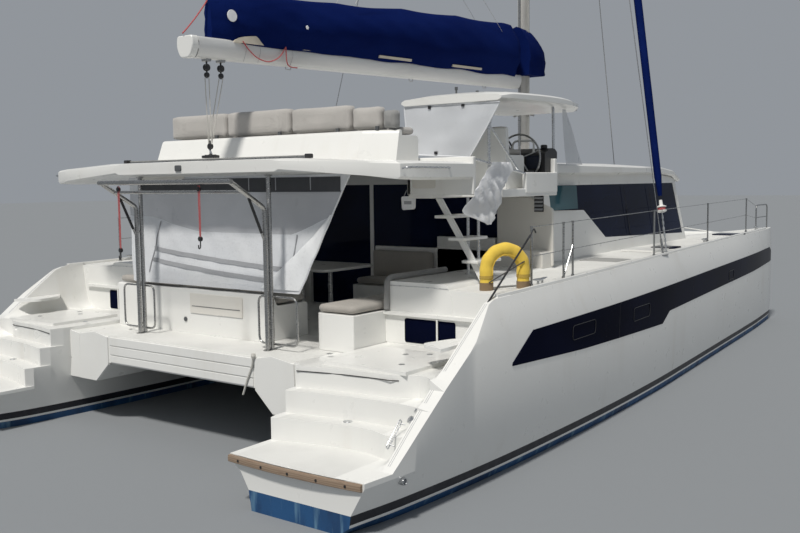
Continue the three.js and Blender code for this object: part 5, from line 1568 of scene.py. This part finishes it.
def winches():
    """The winches, clutches and lines on the roof inboard of the helm."""
    drum = [
        (0, 0.085), (0.03, 0.085), (0.045, 0.06), (0.12, 0.055), (0.16, 0.075), (0.175, 0.075),
        (0.18, 0.05), (0.20, 0.045),
    ]
    turned = Form()
    for x, y in WINCHES:
        turned.turned(drum, (x, y, ROOF_TOP_Z - 0.01), sides=24)
    turned.build("winches", [DARK_STEEL], bevel=0.003)
    clutches = Form()
    profile = rounded([(-1.62, 3.365), (-1.36, 3.365), (-1.40, 3.45), (-1.60, 3.47)], 0.015)
    for k in range(CLUTCHES):
        y = -1.62 - CLUTCH_PITCH * k
        clutches.prism("y", profile, y, y + 0.045)
    clutches.build("rope_clutches", [BLACK], bevel=0.003)
    ropes = Form()
    for k in range(CLUTCHES):
        y = -1.60 - CLUTCH_PITCH * k
        path = [(1.9, -0.16 - 0.02 * k, 3.40), (0.4, -1.3 - 0.03 * k, 3.395), (-1.36, y, 3.405)]
        ropes.tube(path, 0.006, 8, k % 3)
        tail = sagging((-1.62, y, 3.41), (-2.26, -1.78 - 0.05 * k, 3.42), 0.02)
        ropes.tube(tail, 0.006, 8, k % 3)
    ropes.build("control_lines", [RED_ROPE, PALE_ROPE, BLUE_ROPE])
    coils = Form()
    for k in range(4):
        middle = Vector((-2.15, -2.22, 3.41 + 0.014 * k))
        ring = around(middle, Vector((1, 0, 0)), Vector((0, 0.8, 0)), 0.11 - 0.012 * k, 28)
        coils.tube(ring + ring[:1], 0.007, 8, k % 2)
    coils.build("coiled_tails", [RED_ROPE, PALE_ROPE])


def steps():
    """The helm's three treads on their stringer, with the posts and brackets under the pod."""
    treads = Form()
    for y, z in HELM_TREADS:
        treads.prism("z", plate((-4.59, y - 0.115), (-4.04, y + 0.115), 0.03), z - 0.035, z)
    foot = deck_z(-4.485) + 0.001
    flat = [(-2.462, 2.8995), (-2.552, 2.8995), (-3.195, foot), (-3.105, foot)]
    treads.prism("x", flat, -4.525, -4.485)
    treads.build("helm_treads", [WHITE], bevel=0.008, replaces=["helm_steps"])
    rails = Form()
    for (y, z), shift in zip(HELM_TREADS, (0.03, 0.07)):
        rails.tube([(POST_X, y + shift, POST_FOOT_Z), (POST_X, y + shift, 2.899)], 0.018, 16)
        rails.tube([(-4.06, y + shift, z - 0.0175), (POST_X, y + shift, z - 0.0175)], 0.012)
        rails.turned([(0, 0.045), (0.008, 0.04)], (POST_X, y + shift, POST_FOOT_Z), sides=20)
    y, z = HELM_TREADS[2]
    rails.tube([(-4.10, y, POST_FOOT_Z), (-4.10, y, z - 0.01)], 0.018, 14)
    rails.build("helm_step_posts", [STEEL])


WHEEL_CENTRE = (-2.8555, -2.66, 3.39)
WHEEL_RADIUS = 0.31


def wheel():
    """The steering wheel's rim, spokes and hub."""
    centre = Vector(WHEEL_CENTRE)
    form = Form()
    turns = [math.tau * k / 48 for k in range(49)]
    form.tube([centre + Vector((0, math.cos(a), math.sin(a))) * WHEEL_RADIUS for a in turns], 0.013)
    form.build("wheel_rim", [DARK_STEEL], body="wheel", replaces=["helm_wheel"])
    spokes = Form()
    for k in range(5):
        a = math.tau * (k + 0.25) / 5
        out = Vector((0, math.cos(a), math.sin(a)))
        spokes.tube([centre + Vector((0.03, 0, 0)) + out * 0.03, centre + out * 0.30], 0.009, 10)
    hub = [(-0.015, 0.03), (-0.01, 0.045), (0.03, 0.045), (0.045, 0.03), (0.07, 0.025)]
    spokes.turned(hub, centre, (1, 0, 0), 20)
    spokes.build("wheel_spokes", [STEEL], body="wheel")


BIMINI = [
    # x, half-width, underside z, edge z, top z
    (-3.99, 0.740, 4.060, 4.130, 4.160),
    (-3.75, 0.775, 4.065, 4.160, 4.200),
    (-2.50, 0.775, 4.075, 4.180, 4.230),
    (-1.95, 0.740, 4.060, 4.140, 4.180),
    (-1.70, 0.600, 4.040, 4.075, 4.090),
]
BIMINI_Y = -2.32


def bimini():
    """The small roof over the helm with its struts, rail, hatch and sensor."""
    form = Form()
    rings = []
    for x in sorted({*span(-3.99, -3.75, 3), *span(-3.75, -1.95, 8), *span(-1.95, -1.70, 4)}):
        half, under, edge, top = between(BIMINI, x)
        port = [
            (half * 0.5, top - 0.006), (half - 0.05, edge + 0.005), (half, edge - 0.02),
            (half, under + 0.025), (half - 0.05, under),
        ]
        ring = [(-w, z) for w, z in port[::-1]] + [(0, top)] + port + [(0, under - 0.001)]
        rings.append([(x, BIMINI_Y + w, z) for w, z in ring])
    form.loft(rings)
    form.build("helm_roof", [WHITE], bevel=0.012, segments=3, angle=35, replaces=["helm_bimini"])
    struts = Form()
    for path in (
        [(-3.8, -1.56, 3.383), (-3.70, -1.64, 4.08)], [(-1.9, -1.56, 3.383), (-1.88, -1.64, 4.07)],
        [(-2.35, -2.90, 3.324), (-2.33, -2.88, 4.08)],
        [(-3.93, -2.85, HELM_FLOOR_TOP_Z), (-3.93, -2.85, 4.08)],
    ):
        struts.tube(path, 0.019, 14)
    struts.tube([(-3.93, -2.85, 3.78), (-3.56, HELM_RAIL_Y, 3.203)], 0.014)
    struts.tube([(-4.587, HELM_RAIL_Y, 3.35), (-3.423, HELM_RAIL_Y, 3.184)], 0.016)
    hoop = [(-2.76, -2.50, 3.45), (-2.74, -2.50, 3.62), (-2.74, -2.82, 3.62), (-2.76, -2.82, 3.45)]
    struts.tube(eased(hoop, 0.07), 0.014, 12, 1)
    struts.build("helm_roof_struts", [STEEL, WHITE])
    hatch = Form().prism("z", plate((-3.0, -2.55), (-2.45, -2.08), 0.05), 4.21, 4.255)
    hatch.build("helm_roof_hatch", [WHITE], bevel=0.012)
    lamp = Form()
    lamp.turned([(0, 0.03), (0.04, 0.03), (0.05, 0.022), (0.08, 0.02)], (-3.15, -2.2, 4.20), sides=18)
    lamp.turned([(0, 0.012), (0.06, 0.012), (0.065, 0.02), (0.10, 0.02)], (-3.65, -2.2, 4.19), sides=12)
    lamp.build("roof_sensor", [DARK_GREY])


# Cloth
def cloth_grid(rows, thickness, push):
    """A sheet as a closed form. rows are lists of points; push gives each point's normal."""
    form = Form()
    high, wide = len(rows), len(rows[0])
    points = [Vector(p) for row in rows for p in row]
    half = Vector(push) * thickness / 2
    front = [p + half for p in points]
    back = [p - half for p in points]
    faces = []
    total = len(points)
    for r in range(high - 1):
        for c in range(wide - 1):
            a, b = r * wide + c, r * wide + c + 1
            d, e = (r + 1) * wide + c + 1, (r + 1) * wide + c
            faces += [(a, b, d, e), (total + a, total + e, total + d, total + b)]
    rim = [*range(wide), *range(2 * wide - 1, total, wide)]
    rim += [*range(total - 2, total - wide - 1, -1), *range(total - 2 * wide, 0, -wide)]
    for a, b in zip(rim, rim[1:] + rim[:1]):
        faces.append((a, total + a, total + b, b))
    return form.add(front + back, faces)


def spread_rows(high, wide, place):
    """Rows of points. place gives the point for the shares of the way across and up."""
    return [[place(c / wide, r / high) for c in range(wide + 1)] for r in range(high + 1)]


CURTAIN_X = -5.708
CURTAIN_MIDDLE_Z = 2.4
CLOTH_THICKNESS = 0.0016
SCREEN_THICKNESS = 0.0014


def curtain_edges(z):
    """The port and starboard edges of the cockpit's curtain at a height."""
    rise = (z - 1.8) / 1.4
    return 1.74 + 0.02 * rise, -1.34 - 0.81 * rise


def curtain_depth(y, z):
    """How far the hanging cloth billows."""
    pull = math.sin(math.pi * (z - 1.8) / 1.4)
    folds = 0.012 * math.sin(7 * y + 2.2 * z) + 0.008 * math.sin(17 * y - 9 * z) * (3.2 - z)
    return CURTAIN_X + pull * folds + 0.010 * noise.noise(Vector((y * 3, z * 3, 1.0)))


MILKY_LINE = [
    # y, height
    (-2.2, 2.72), (-1.9, 2.70), (-1.65, 2.72), (-1.2, 2.50), (0.4, 2.50), (0.95, 2.60), (1.3, 2.68),
    (2.0, 2.70),
]


def milky_line(y):
    """The height below which the curtain is cloudy."""
    return straight(MILKY_LINE, y)[0]


def curtain_panel(name, z_low, z_high, material, lift=0.0, count=40, rows=14):
    """A width of the curtain. z_low and z_high are heights, or give one for each y."""
    def place(across, up):
        port, starboard = curtain_edges(CURTAIN_MIDDLE_Z)
        y = port + (starboard - port) * across
        low = z_low(y) if callable(z_low) else z_low
        high = z_high(y) if callable(z_high) else z_high
        z = low + (high - low) * up
        port, starboard = curtain_edges(z)
        y = port + (starboard - port) * across
        return curtain_depth(y, z) - lift, y, z

    grid = spread_rows(rows, count, place)
    return cloth_grid(grid, CLOTH_THICKNESS, (1, 0, 0)).build(name, [material], angle=80)


def cockpit_curtain():
    """The roll-down curtain across the cockpit: window, cloudy lower part, mesh strips, hems and straps."""
    haze = curtain_panel("cockpit_curtain_window", milky_line, 3.02, CLEAR)
    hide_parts("cockpit_curtain")
    low = curtain_panel("cockpit_curtain_skirt", 1.805, milky_line, WHITE_CLOTH)
    head = curtain_panel("cockpit_curtain_head", 3.015, 3.198, WHITE_CLOTH, 0.002, count=20, rows=4)
    trim = Form()

    def strip(points, width, mark, lift, bow=0.0):
        rings = []
        for k, (y, z) in enumerate(points):
            z -= bow * math.sin(math.pi * k / (len(points) - 1))
            x = curtain_depth(y, z) - lift
            low, high = z - width / 2, z + width / 2
            rings.append([(x, y, low), (x, y, high), (x - 0.003, y, high), (x - 0.003, y, low)])
        trim.loft(rings, mark)

    def slanted(start, end, count=24):
        return [tuple(a + (b - a) * t for a, b in zip(start, end)) for t in span(0, 1, count)]

    strip([(y, 3.085) for y in span(1.50, -2.0, 36)], 0.17, 0, 0.006)
    strip([(y, 3.185) for y in span(1.50, 0.62, 8)], 0.05, 3, 0.010)
    strip([(y, 1.825) for y in span(1.72, -1.33, 40)], 0.05, 1, 0.004)
    strip(slanted((1.29, 2.26), (-1.16, 2.08)), 0.055, 2, 0.006, 0.02)
    strip(slanted((1.32, 2.11), (-0.97, 1.93)), 0.055, 2, 0.006, 0.02)
    bands = trim.build("cockpit_curtain_bands", [MESH_CLOTH, WHITE_CLOTH, STRAP, LINER])
    seams = Form()
    for start, end in (
        ((1.14, 2.62), (1.40, 1.94)), ((-1.32, 2.50), (-1.16, 1.93)), ((-1.0, 3.17), (-1.0, 3.02)),
        ((-1.55, 3.17), (-1.55, 3.02)), ((-0.55, 3.17), (-0.55, 3.02)),
    ):
        seams.tube([(curtain_depth(y, z) - 0.006, y, z) for y, z in slanted(start, end, 12)], 0.009, 6)
    hem = []
    for t in span(0, 1, 24):
        z = 3.19 + (1.81 - 3.19) * t
        y = curtain_edges(z)[1] + 0.012
        hem.append((curtain_depth(y, z) - 0.003, y, z))
    seams.tube(hem, 0.011, 6, 1)
    edging = seams.build("cockpit_curtain_seams", [STRAP, WHITE_CLOTH])

    def flap(s, t):
        z = 2.74 - 0.90 * t
        y = curtain_edges(z)[1] + 0.02 + s * 0.62 * t ** 1.2 + s * 0.02
        return curtain_depth(y, z) - 0.012 - 0.012 * math.sin(math.pi * s), y, z

    corner_flap = cloth_grid(spread_rows(14, 14, flap), CLOTH_THICKNESS, (1, 0, 0))
    corner_flap = corner_flap.build("cockpit_curtain_corner", [PALE_CLOTH], angle=80)


# The cover's edges: height, x there
COVER_LEFT = [(2.58, -4.36), (2.74, -4.90), (2.78, -4.90), (3.31, -4.27), (3.4, -4.2)]
COVER_RIGHT = [(2.58, -4.30), (2.87, -4.06), (2.99, -4.05), (3.21, -3.80), (3.31, -3.83)]


def helm_screens():
    """The clear curtain behind the helm, the vinyl before it and the rumpled cover on the pod."""
    def behind(s, t):
        top = Vector((0, -1.61 - 1.42 * s, 4.059 - 0.02 * s))
        foot = Vector((0, -1.66 - 0.94 * s, 3.45 - 0.06 * s))
        spot = foot.lerp(top, t)
        x = -3.968 + 0.012 * math.sin(9 * spot.y + 4 * spot.z) * math.sin(math.pi * t)
        return x + 0.008 * noise.noise(spot * 6), spot.y, spot.z

    rows = spread_rows(16, 16, behind)
    rear = cloth_grid(rows, SCREEN_THICKNESS, (1, 0, 0))
    rear = rear.build("helm_rear_screen", [HAZE], angle=80, replaces=["helm_curtain"])
    edge = Form()
    rim = rows[0] + [row[-1] for row in rows[1:]] + rows[-1][-2::-1] + [row[0] for row in rows[-2:0:-1]]
    edge.tube([(x - 0.002, y, z) for x, y, z in rim + rim[:1]], 0.010, 6)
    for y, z in ((-2.01, 4.03), (-2.51, 4.03), (-2.1, 3.46)):
        edge.box((-3.985, -3.965), (y - 0.02, y + 0.02), (z - 0.02, z + 0.015), 1)
    hem = edge.build("helm_rear_screen_hem", [WHITE_CLOTH, BLACK])

    def beside(s, t):
        top = Vector((-2.10 + 0.14 * s, -2.90 + 0.02 * s, 4.06))
        foot = Vector((-1.86 + 0.70 * s, -2.84 + 0.09 * s, 3.315))
        spot = foot.lerp(top, t)
        ripple = 0.010 * math.sin(12 * spot.x + 5 * spot.z) * math.sin(math.pi * t)
        return spot.x, spot.y + ripple, spot.z

    flank = cloth_grid(spread_rows(12, 12, beside), SCREEN_THICKNESS, (0, 1, 0))
    flank = flank.build("helm_side_screen", [SCREEN], angle=80)

    def rumpled(s, t):
        z = 2.59 + 0.73 * t
        left, right = straight(COVER_LEFT, z)[0], straight(COVER_RIGHT, z)[0]
        x = left + (right - left) * s
        spot = Vector((x * 5 + z * 3, z * 2.2, 0))
        ridge = abs(noise.noise(spot)) * 0.09 + abs(noise.noise(spot * 2.3)) * 0.035
        return x, -3.086 - ridge, z

    cover = cloth_grid(spread_rows(28, 24, rumpled), 0.002, (0, 1, 0))
    cover = cover.build("helm_cover_cloth", [SILVER], angle=80, replaces=["helm_cover"])


# Cockpit
def aft_bench():
    """The bench across the cockpit's after end and along its port side, with its locker and cushions."""
    bench = Form()
    profile = [
        (-5.7, SOLE_TOP_Z), (-5.7, 1.76), (-5.58, 1.76), (-5.50, SEAT_Z), (-4.95, SEAT_Z),
        (-4.95, SOLE_TOP_Z),
    ]
    bench.prism("y", rounded(profile, [0.001, 0.03, 0.03, 0.03, 0.05, 0.001]), -0.76, 2.10)
    bench.box((-4.96, -2.62), (1.56, 2.14), (SOLE_TOP_Z, SEAT_Z))
    bench.build("aft_bench_moulding", [WHITE], bevel=0.012, replaces=["aft_bench"])
    panel = Form().prism("x", plate((0.60, 1.44), (-0.37, 1.70), 0.02), -5.712, -5.70)
    panel.build("aft_bench_locker", [LINER], bevel=0.004)
    slot = Form().tube([(-5.714, 0.56, 1.535), (-5.714, -0.33, 1.535)], 0.004, 6)
    slot.turned([(0, 0.03), (0.008, 0.03), (0.008, 0.018)], (-5.704, 0.70, 1.35), (-1, 0, 0), 18)
    slot.build("aft_bench_slot", [DARK_GREY])
    seats = ((-0.74, 0.66), (0.70, 2.08))
    boxes = [((-5.49, y0, PAD_FOOT_Z), (-4.96, y1, PAD_TOP_Z), 0.045, 0.012) for y0, y1 in seats]
    backs = ((-0.73, -0.28), (-0.25, 0.80), (0.83, 2.07))
    boxes += [((-5.69, y0, 1.763), (-5.545, y1, 1.868), 0.05, 0.008) for y0, y1 in backs]
    sides = ((-4.94, -3.80), (-3.76, -2.66))
    boxes += [((x0, 1.58, PAD_FOOT_Z), (x1, 2.12, PAD_TOP_Z), 0.045, 0.012) for x0, x1 in sides]
    cushions("aft_bench_cushions", boxes, CUSHION, ["aft_cushion"])


def fore_bench():
    """The seat along the cockpit's starboard side, the one at its fore end, and their cushions."""
    fore = Form()
    fore.prism("z", plate((-5.70, -2.14), (-2.52, -1.56), [0.02, 0.01, 0.01, 0.12]), SOLE_TOP_Z, SEAT_Z)
    fore.box((-2.60, -2.52), (-2.13, -1.16), (1.59, 2.31))
    fore.box((-3.12, -2.52), (-1.57, 0.0), (SOLE_TOP_Z, SEAT_Z))
    fore.box((-2.60, -2.52), (-2.1, -0.02), (1.59, 2.14))
    fore.build("fore_bench_moulding", [WHITE], bevel=0.014, segments=3, replaces=["fore_bench"])
    sides = ((-5.67, -4.85), (-4.81, -3.99), (-3.95, -3.14))
    boxes = [((x0, -2.12, PAD_FOOT_Z), (x1, -1.58, PAD_TOP_Z), 0.045, 0.014) for x0, x1 in sides]
    boxes += [
        ((-3.10, -1.54, PAD_FOOT_Z), (-2.73, -0.04, PAD_TOP_Z), 0.045, 0.012),
        ((-2.72, -1.14, 1.66), (-2.602, -0.04, 2.09), 0.05, 0.012),
        ((-3.10, -2.12, PAD_FOOT_Z), (-2.73, -1.58, PAD_TOP_Z), 0.045, 0.012),
    ]
    cushions("fore_bench_cushions", boxes, CUSHION, ["fore_cushion"])


def cockpit_table():
    """The table's top on its two legs."""
    table = Form().prism("z", plate((-4.3, -0.5), (-3.2, 0.9), 0.12), 1.89, 1.93)
    table.build("table_top_panel", [WHITE], bevel=0.014, segments=3, replaces=["cockpit_table"])
    legs = Form()
    for x in (-4.05, -3.45):
        legs.tube([(x, 0.15, 1.18), (x, 0.15, 1.895)], 0.035, 16)
        legs.turned([(0, 0.09), (0.012, 0.085), (0.02, 0.045)], (x, 0.15, 1.173), sides=20)
        legs.turned([(0, 0.045), (0.008, 0.085), (0.02, 0.09)], (x, 0.15, 1.869), sides=20)
    legs.build("table_legs", [STEEL])


DAVIT_Y = 1.16
DAVIT_POST_X = -6.0
DAVIT_ARM_X = -6.075
DAVIT_BAR_X = -6.6


def davits():
    """The posts under the roof's edge and the tender's lifting frame, with hoops, braces and tackles."""
    form = Form()
    pads = Form()
    tackles = Form()
    blocks = Form()
    for way in (-1, 1):
        y = way * DAVIT_Y
        form.tube([(DAVIT_POST_X, y, 1.18), (DAVIT_POST_X, y, 3.205)], 0.028, 18)
        arm = [(DAVIT_ARM_X, y, 1.18), (DAVIT_ARM_X, y, 2.82), (DAVIT_BAR_X, y, 3.13)]
        form.tube(eased(arm, 0.06, 8), 0.028, 18)
        form.tube([(DAVIT_ARM_X, y, 2.42), (-6.33, y, 2.965)], 0.014)
        for z in (1.3, 2.5):
            form.tube([(DAVIT_POST_X, y, z), (DAVIT_ARM_X, y, z)], 0.012, 10)
        for x in (DAVIT_POST_X, DAVIT_ARM_X):
            form.turned([(0, 0.055), (0.010, 0.055), (0.016, 0.032)], (x, y, SOLE_TOP_Z), sides=24)
        form.turned([(0, 0.032), (0.01, 0.050), (0.016, 0.050)], (DAVIT_POST_X, y, 3.186), sides=24)
        for hoop_y in (way * 1.566, way * 0.951):
            hoop = [(y, 1.24), (hoop_y, 1.24), (hoop_y, 1.795), (y, 1.795)]
            form.tube(eased([(DAVIT_POST_X, *spot) for spot in hoop], 0.09), 0.013)
        pads.tube([(-6.13, y, 2.54), (-6.32, y, 2.945)], 0.017, 10)
        top = Vector((-6.55, 0.87 if way > 0 else -0.60, 3.09))
        foot = 2.30 if way > 0 else 2.48
        for shift in (-0.012, 0.012):
            tackles.tube([top + Vector((0, shift, 0)), (top.x, top.y + shift * 0.6, foot)], 0.006, 8)
        for z in (3.05, foot):
            for face in (-1, 1):
                cheek = [(0, 0.028), (0.006, 0.028), (0.009, 0.021)]
                blocks.turned(cheek, (top.x + face * 0.008, top.y, z), (face, 0, 0), 16)
        hook = [(0, -0.02), (0, -0.10), (0.03, -0.12), (0.035, -0.07)]
        blocks.tube(eased([(top.x, top.y + v, foot + w) for v, w in hook], 0.02), 0.007, 8)
    form.tube([(DAVIT_BAR_X, -1.188, 3.13), (DAVIT_BAR_X, 1.188, 3.13)], 0.028, 18)
    form.tube([(-6.4, -DAVIT_Y, 3.012), (-6.4, DAVIT_Y, 3.012)], 0.02, 16)
    form.build("davit_tubes", [DARK_STEEL], replaces=["davit_frame"])
    pads.build("davit_brace_sleeves", [BLACK])
    tackles.build("davit_tackles", [RED_ROPE])
    blocks.build("davit_blocks", [BLACK])


# Rails and lifebuoy
STANCHIONS = (-4.45, -3.63, -3.37, -0.38, 2.7, 5.8)
PULPIT = (6.7, 7.5)
RAIL_HEIGHT = 0.69


def rail_y(x, side):
    """The line of the stanchions' feet."""
    return side * (HULL_Y + max(between(HULL_SECTIONS, x)[0] - CHAMFER - 0.10, 0))


def guard_rails(side):
    """Stanchions with their feet, two lifelines and the pulpit at the bow."""
    posts = Form()
    wires = Form()
    tops = []
    for x in STANCHIONS:
        y, foot = rail_y(x, side), deck_z(x)
        posts.tube([(x, y, foot), (x, y, foot + RAIL_HEIGHT)], 0.013)
        posts.turned([(0, 0.030), (0.006, 0.030), (0.012, 0.022), (0.04, 0.019)], (x, y, foot), sides=20)
        for z in (0.35, 0.68):
            posts.turned([(-0.012, 0.017), (0.012, 0.017)], (x, y, foot + z), sides=12)
        tops.append((x, y, foot))
    aft, gate = STANCHIONS[1:3]
    brace = [(x, rail_y(x, side), deck_z(x) + rise) for x, rise in ((gate, 0.40), (aft, 0.02))]
    posts.tube(brace, 0.010, 10)
    start, end = PULPIT
    low = deck_z(start)
    y_out = rail_y(start, side)
    y_tip = rail_y(end, side)
    for height, last in ((0.68, 0.50), (0.35, 0.25)):
        line = [(x, y, foot + height) for x, y, foot in tops]
        wires.tube(line + [(start, y_out, low + last)], 0.0045, 8)
    hoop = [(start, y_out, low), (start, y_out, low + 0.52), (end, y_tip, low + 0.52), (end, y_tip, low)]
    posts.tube(eased(hoop, 0.10), 0.014)
    posts.tube([(start, y_out, low + 0.26), (end, y_tip, low + 0.26)], 0.010, 10)
    posts.build(f"stanchions_{named(side)}", [DARK_STEEL], replaces=[f"guard_rail_{named(side)}"])
    wires.build(f"lifelines_{named(side)}", [DARK_STEEL])


BUOY_RADIUS = 0.222
BUOY_POST_X = -4.45
# Half-sizes of the cover's section, across the ring and through it
BUOY_SECTION = (0.076, 0.066)
BAND_SECTION = (0.079, 0.069)


def lifebuoy():
    """The horseshoe buoy by its stanchion, standing on the deck, with straps and a line."""
    plane = Vector((0.8, -0.6, 0))
    out = Vector((-0.6, -0.8, 0))
    centre = Vector((-4.708, rail_y(BUOY_POST_X, STARBOARD) + 0.1935, 2.118))
    leg = centre.z - deck_z(BUOY_POST_X) - 0.002
    route = [(-BUOY_RADIUS, -leg * (1 - k / 8)) for k in range(8)]
    route += [(-BUOY_RADIUS * math.cos(a), BUOY_RADIUS * math.sin(a)) for a in span(0, math.pi, 32)]
    route += [(BUOY_RADIUS, -leg * (k + 1) / 8) for k in range(8)]
    spots = [centre + plane * u + UP * v for u, v in route]
    last = len(spots) - 1
    rings, frames = [], []
    for k, spot in enumerate(spots):
        ahead = (spots[min(k + 1, last)] - spots[max(k - 1, 0)]).normalized()
        across = ahead.cross(out).normalized()
        frames.append((spot, ahead, across))
        bulge = 1 + 0.04 * math.sin(k * 1.1) + 0.03 * noise.noise(spot * 12)
        end = min(1.0, 0.75 + 0.12 * min(k, last - k))
        rings.append(around(spot, across * BUOY_SECTION[0], out * BUOY_SECTION[1], bulge * end, 20))
    Form().loft(rings).build("buoy_cover", [YELLOW], angle=60, replaces=["lifebuoy"])
    bands = Form()
    for k, mark in ((1, 1), (last - 1, 1), (5, 0), (last - 5, 0)):
        spot, ahead, across = frames[k]
        wide = 0.05 if mark else 0.018
        bands.loft([
            around(spot + ahead * shift, across * BAND_SECTION[0], out * BAND_SECTION[1], 1, 20)
            for shift in (-wide, wide)
        ], mark)
    bands.build("buoy_bands", [OLIVE_STRAP, BROWN_CLOTH])
    line = Form().tube([frames[last - 12][0] + out * 0.07, frames[3][0] + out * 0.075], 0.007, 8)
    rim = [spot + out * 0.05 + across * 0.055 for spot, _, across in frames[6:-6:4]]
    line.tube(rim, 0.0045, 8, 1)
    line.build("buoy_line", [BLACK_ROPE, YELLOW])
    hook = Form().tube([(-4.62, -3.80, 2.50), (-5.84, -3.80, 1.62)], 0.011, 10)
    hook.tube(eased([(-4.62, -3.80, 2.50), (-4.54, -3.80, 2.57), (-4.50, -3.80, 2.52)], 0.02), 0.008, 8)
    hook.build("boat_hook", [BLACK])


# Cabin
def glass_y(z, base):
    """How far the leaning side glass stands off the centreline at a height."""
    return base - 0.1 * (z - 1.9) / 1.3


def cabin_trim():
    """The seams of the side glass, the mouldings between helm and deck, the louvre, pane and satchel."""
    seams = Form()
    for side in SIDES:
        for x0, z0, x1, z1 in ((0.95, 2.21, 0.80, 2.98), (2.05, 2.19, 1.85, 2.98)):
            ends = [(x, side * glass_y(z, 2.624), z) for x, z in ((x0, z0), (x1, z1))]
            seams.tube(ends, 0.004, 6)
    seams.build("saloon_glass_seams", [BLACK])
    wall = Form()
    tall = [(-2.16, 1.93), (-3.02, 1.95), (-3.02, 2.72), (-2.66, 2.88), (-2.16, 2.88)]
    wall.prism("x", rounded(tall, 0.03), -2.60, -2.55)
    wall.prism("x", rounded([(-2.16, 1.93), (-3.0, 1.93), (-3.0, 2.16), (-2.16, 2.20)], 0.04), -2.85, -2.56)
    wall.build("side_mouldings", [LINER], bevel=0.02, segments=3)
    Form().box((-2.612, -2.602), (-2.89, -2.75), (2.68, 2.895)).build("side_louvre", [BLACK], bevel=0.003)
    slats = Form()
    for k in range(4):
        z = 2.71 + 0.05 * k
        slat = [(-2.612, z), (-2.626, z - 0.012), (-2.626, z + 0.004), (-2.612, z + 0.016)]
        slats.prism("y", slat, -2.88, -2.76)
    slats.build("side_louvre_slats", [STRAP])
    pane = Form()
    section = [(z, glass_y(z, 2.634)) for z in (2.67, 3.02)]
    outline = [(-y, z) for z, y in section] + [(-y - 0.006, z) for z, y in section[::-1]]
    pane.prism("x", outline, -1.95, -0.95)
    pane.build("side_teal_pane", [TEAL])
    satchel = Form()
    outline = rounded([(-2.215, 2.77), (-2.045, 2.76), (-2.035, 2.925), (-2.22, 2.93)], 0.03)
    satchel.prism("x", outline, -4.63, -4.58)
    for low, high in ((-2.20, -2.19), (-2.06, -2.10)):
        satchel.tube([(-4.61, low, 2.92), (-4.60, high, 3.00)], 0.006, 8, 1)
    satchel.box((-4.634, -4.628), (-2.19, -2.08), (2.83, 2.87), 1)
    satchel.build("hanging_satchel", [SILVER, STRAP], bevel=0.01)
    wing = Form()
    outline = [(-2.54, 1.94), (-2.0, 1.94), (-1.93, 2.10), (-2.12, 2.90), (-2.54, 2.90)]
    wing.prism("y", rounded(outline, 0.04), -2.72, -2.64)
    wing.build("side_wing", [WHITE], bevel=0.012)


def deck_gear():
    """The patches, hatches and cleats of the decks."""
    deck = Form()
    hatches = Form()
    cleats = Form()
    for side in SIDES:
        patch = plate((-1.45, side * 2.84), (-0.9, side * 3.42), 0.04)
        deck.prism("z", patch, deck_z(-1.2) - 0.01, deck_z(-1.2) + 0.005)
        for x, half in ((1.25, 0.2), (4.9, 0.26)):
            y = side * (3.1 if x < 3 else 2.98)
            z = deck_z(x)
            hatches.prism("z", plate((x - half, y - half), (x + half, y + half), 0.06), z - 0.005, z + 0.022)
        for x in (2.6, 6.6, -4.2):
            edge = side_width(x, deck_z(x)) - 0.12
            cleat_on(cleats, (x, side * (HULL_Y + edge), deck_z(x)))
    deck.build("deck_patches", [GREY_DECK])
    hatches.build("deck_hatches", [GLASS], bevel=0.006)
    cleats.build("deck_cleats", [STEEL])


def nonskid_panels():
    """Raised non-slip fields on the side decks and the foredeck."""
    form = Form()
    for side in SIDES:
        for start, end in ((-2.3, -1.6), (-0.75, -0.3), (1.7, 3.3), (3.4, 4.5)):
            rings = []
            for x in span(start, end, max(2, int((end - start) / 0.3))):
                outside = side_width(x, deck_z(x)) - 0.16
                section = ((-0.30, 0.0005), (-0.30, 0.004), (outside, 0.004), (outside, 0.0005))
                rings.append([(x, side * (HULL_Y + u), deck_z(x) + z) for u, z in section])
            form.loft(rings)
    form.build("side_deck_nonskid", [DECK])


NET_PITCH = 0.06
NET_CORD_RADIUS = 0.0035


def nets():
    """The two trampolines between the hulls, woven of real cords."""
    for side in SIDES:
        low, high = (Vector(corner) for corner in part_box(f"net_{named(side)}"))
        form = Form()
        z = (low.z + high.z) / 2
        count = int((high.x - low.x) / NET_PITCH)
        inner, outer = (low.y, high.y) if side == PORT else (high.y, low.y)

        def edge_at(x):
            return side * (HULL_Y - between(HULL_SECTIONS, x)[3] - 0.004)

        for k in range(1, count):
            x = low.x + NET_PITCH * k
            y_edge = edge_at(x)
            form.tube([(x, inner, z), (x, y_edge, z)], NET_CORD_RADIUS, 4)
        rows = int(abs(outer - inner) / NET_PITCH)
        for k in range(1, rows):
            y = inner + (outer - inner) * k / rows
            start = low.x
            while start < high.x and abs(y) > abs(edge_at(start)):
                start += 0.03
            form.tube([(start, y, z + 0.003), (high.x, y, z + 0.003)], NET_CORD_RADIUS, 4)
        xs = span(low.x + 0.02, high.x - 0.02, 12)
        form.tube([(xs[0], inner, z), (xs[-1], inner, z)], 0.012, 8)
        form.tube([(x, edge_at(x), z) for x in xs], 0.012, 8)
        form.build(f"trampoline_{named(side)}", [NET_CORD], replaces=[f"net_{named(side)}"])


camera()
studio()
finish_nodes()
hulls()
bridge()
hardtop()
lounge()
traveller()
boom()
sail_bag()
bag_details()
bag_front()
sheet_and_blocks()
mast()
rigging()
furled_sail()
helm_pod()
helm_station()
winches()
wheel()
steps()
bimini()
cockpit_curtain()
helm_screens()
aft_bench()
fore_bench()
cockpit_table()
davits()
for side in SIDES:
    guard_rails(side)
lifebuoy()
cabin_trim()
deck_gear()
nonskid_panels()
nets()
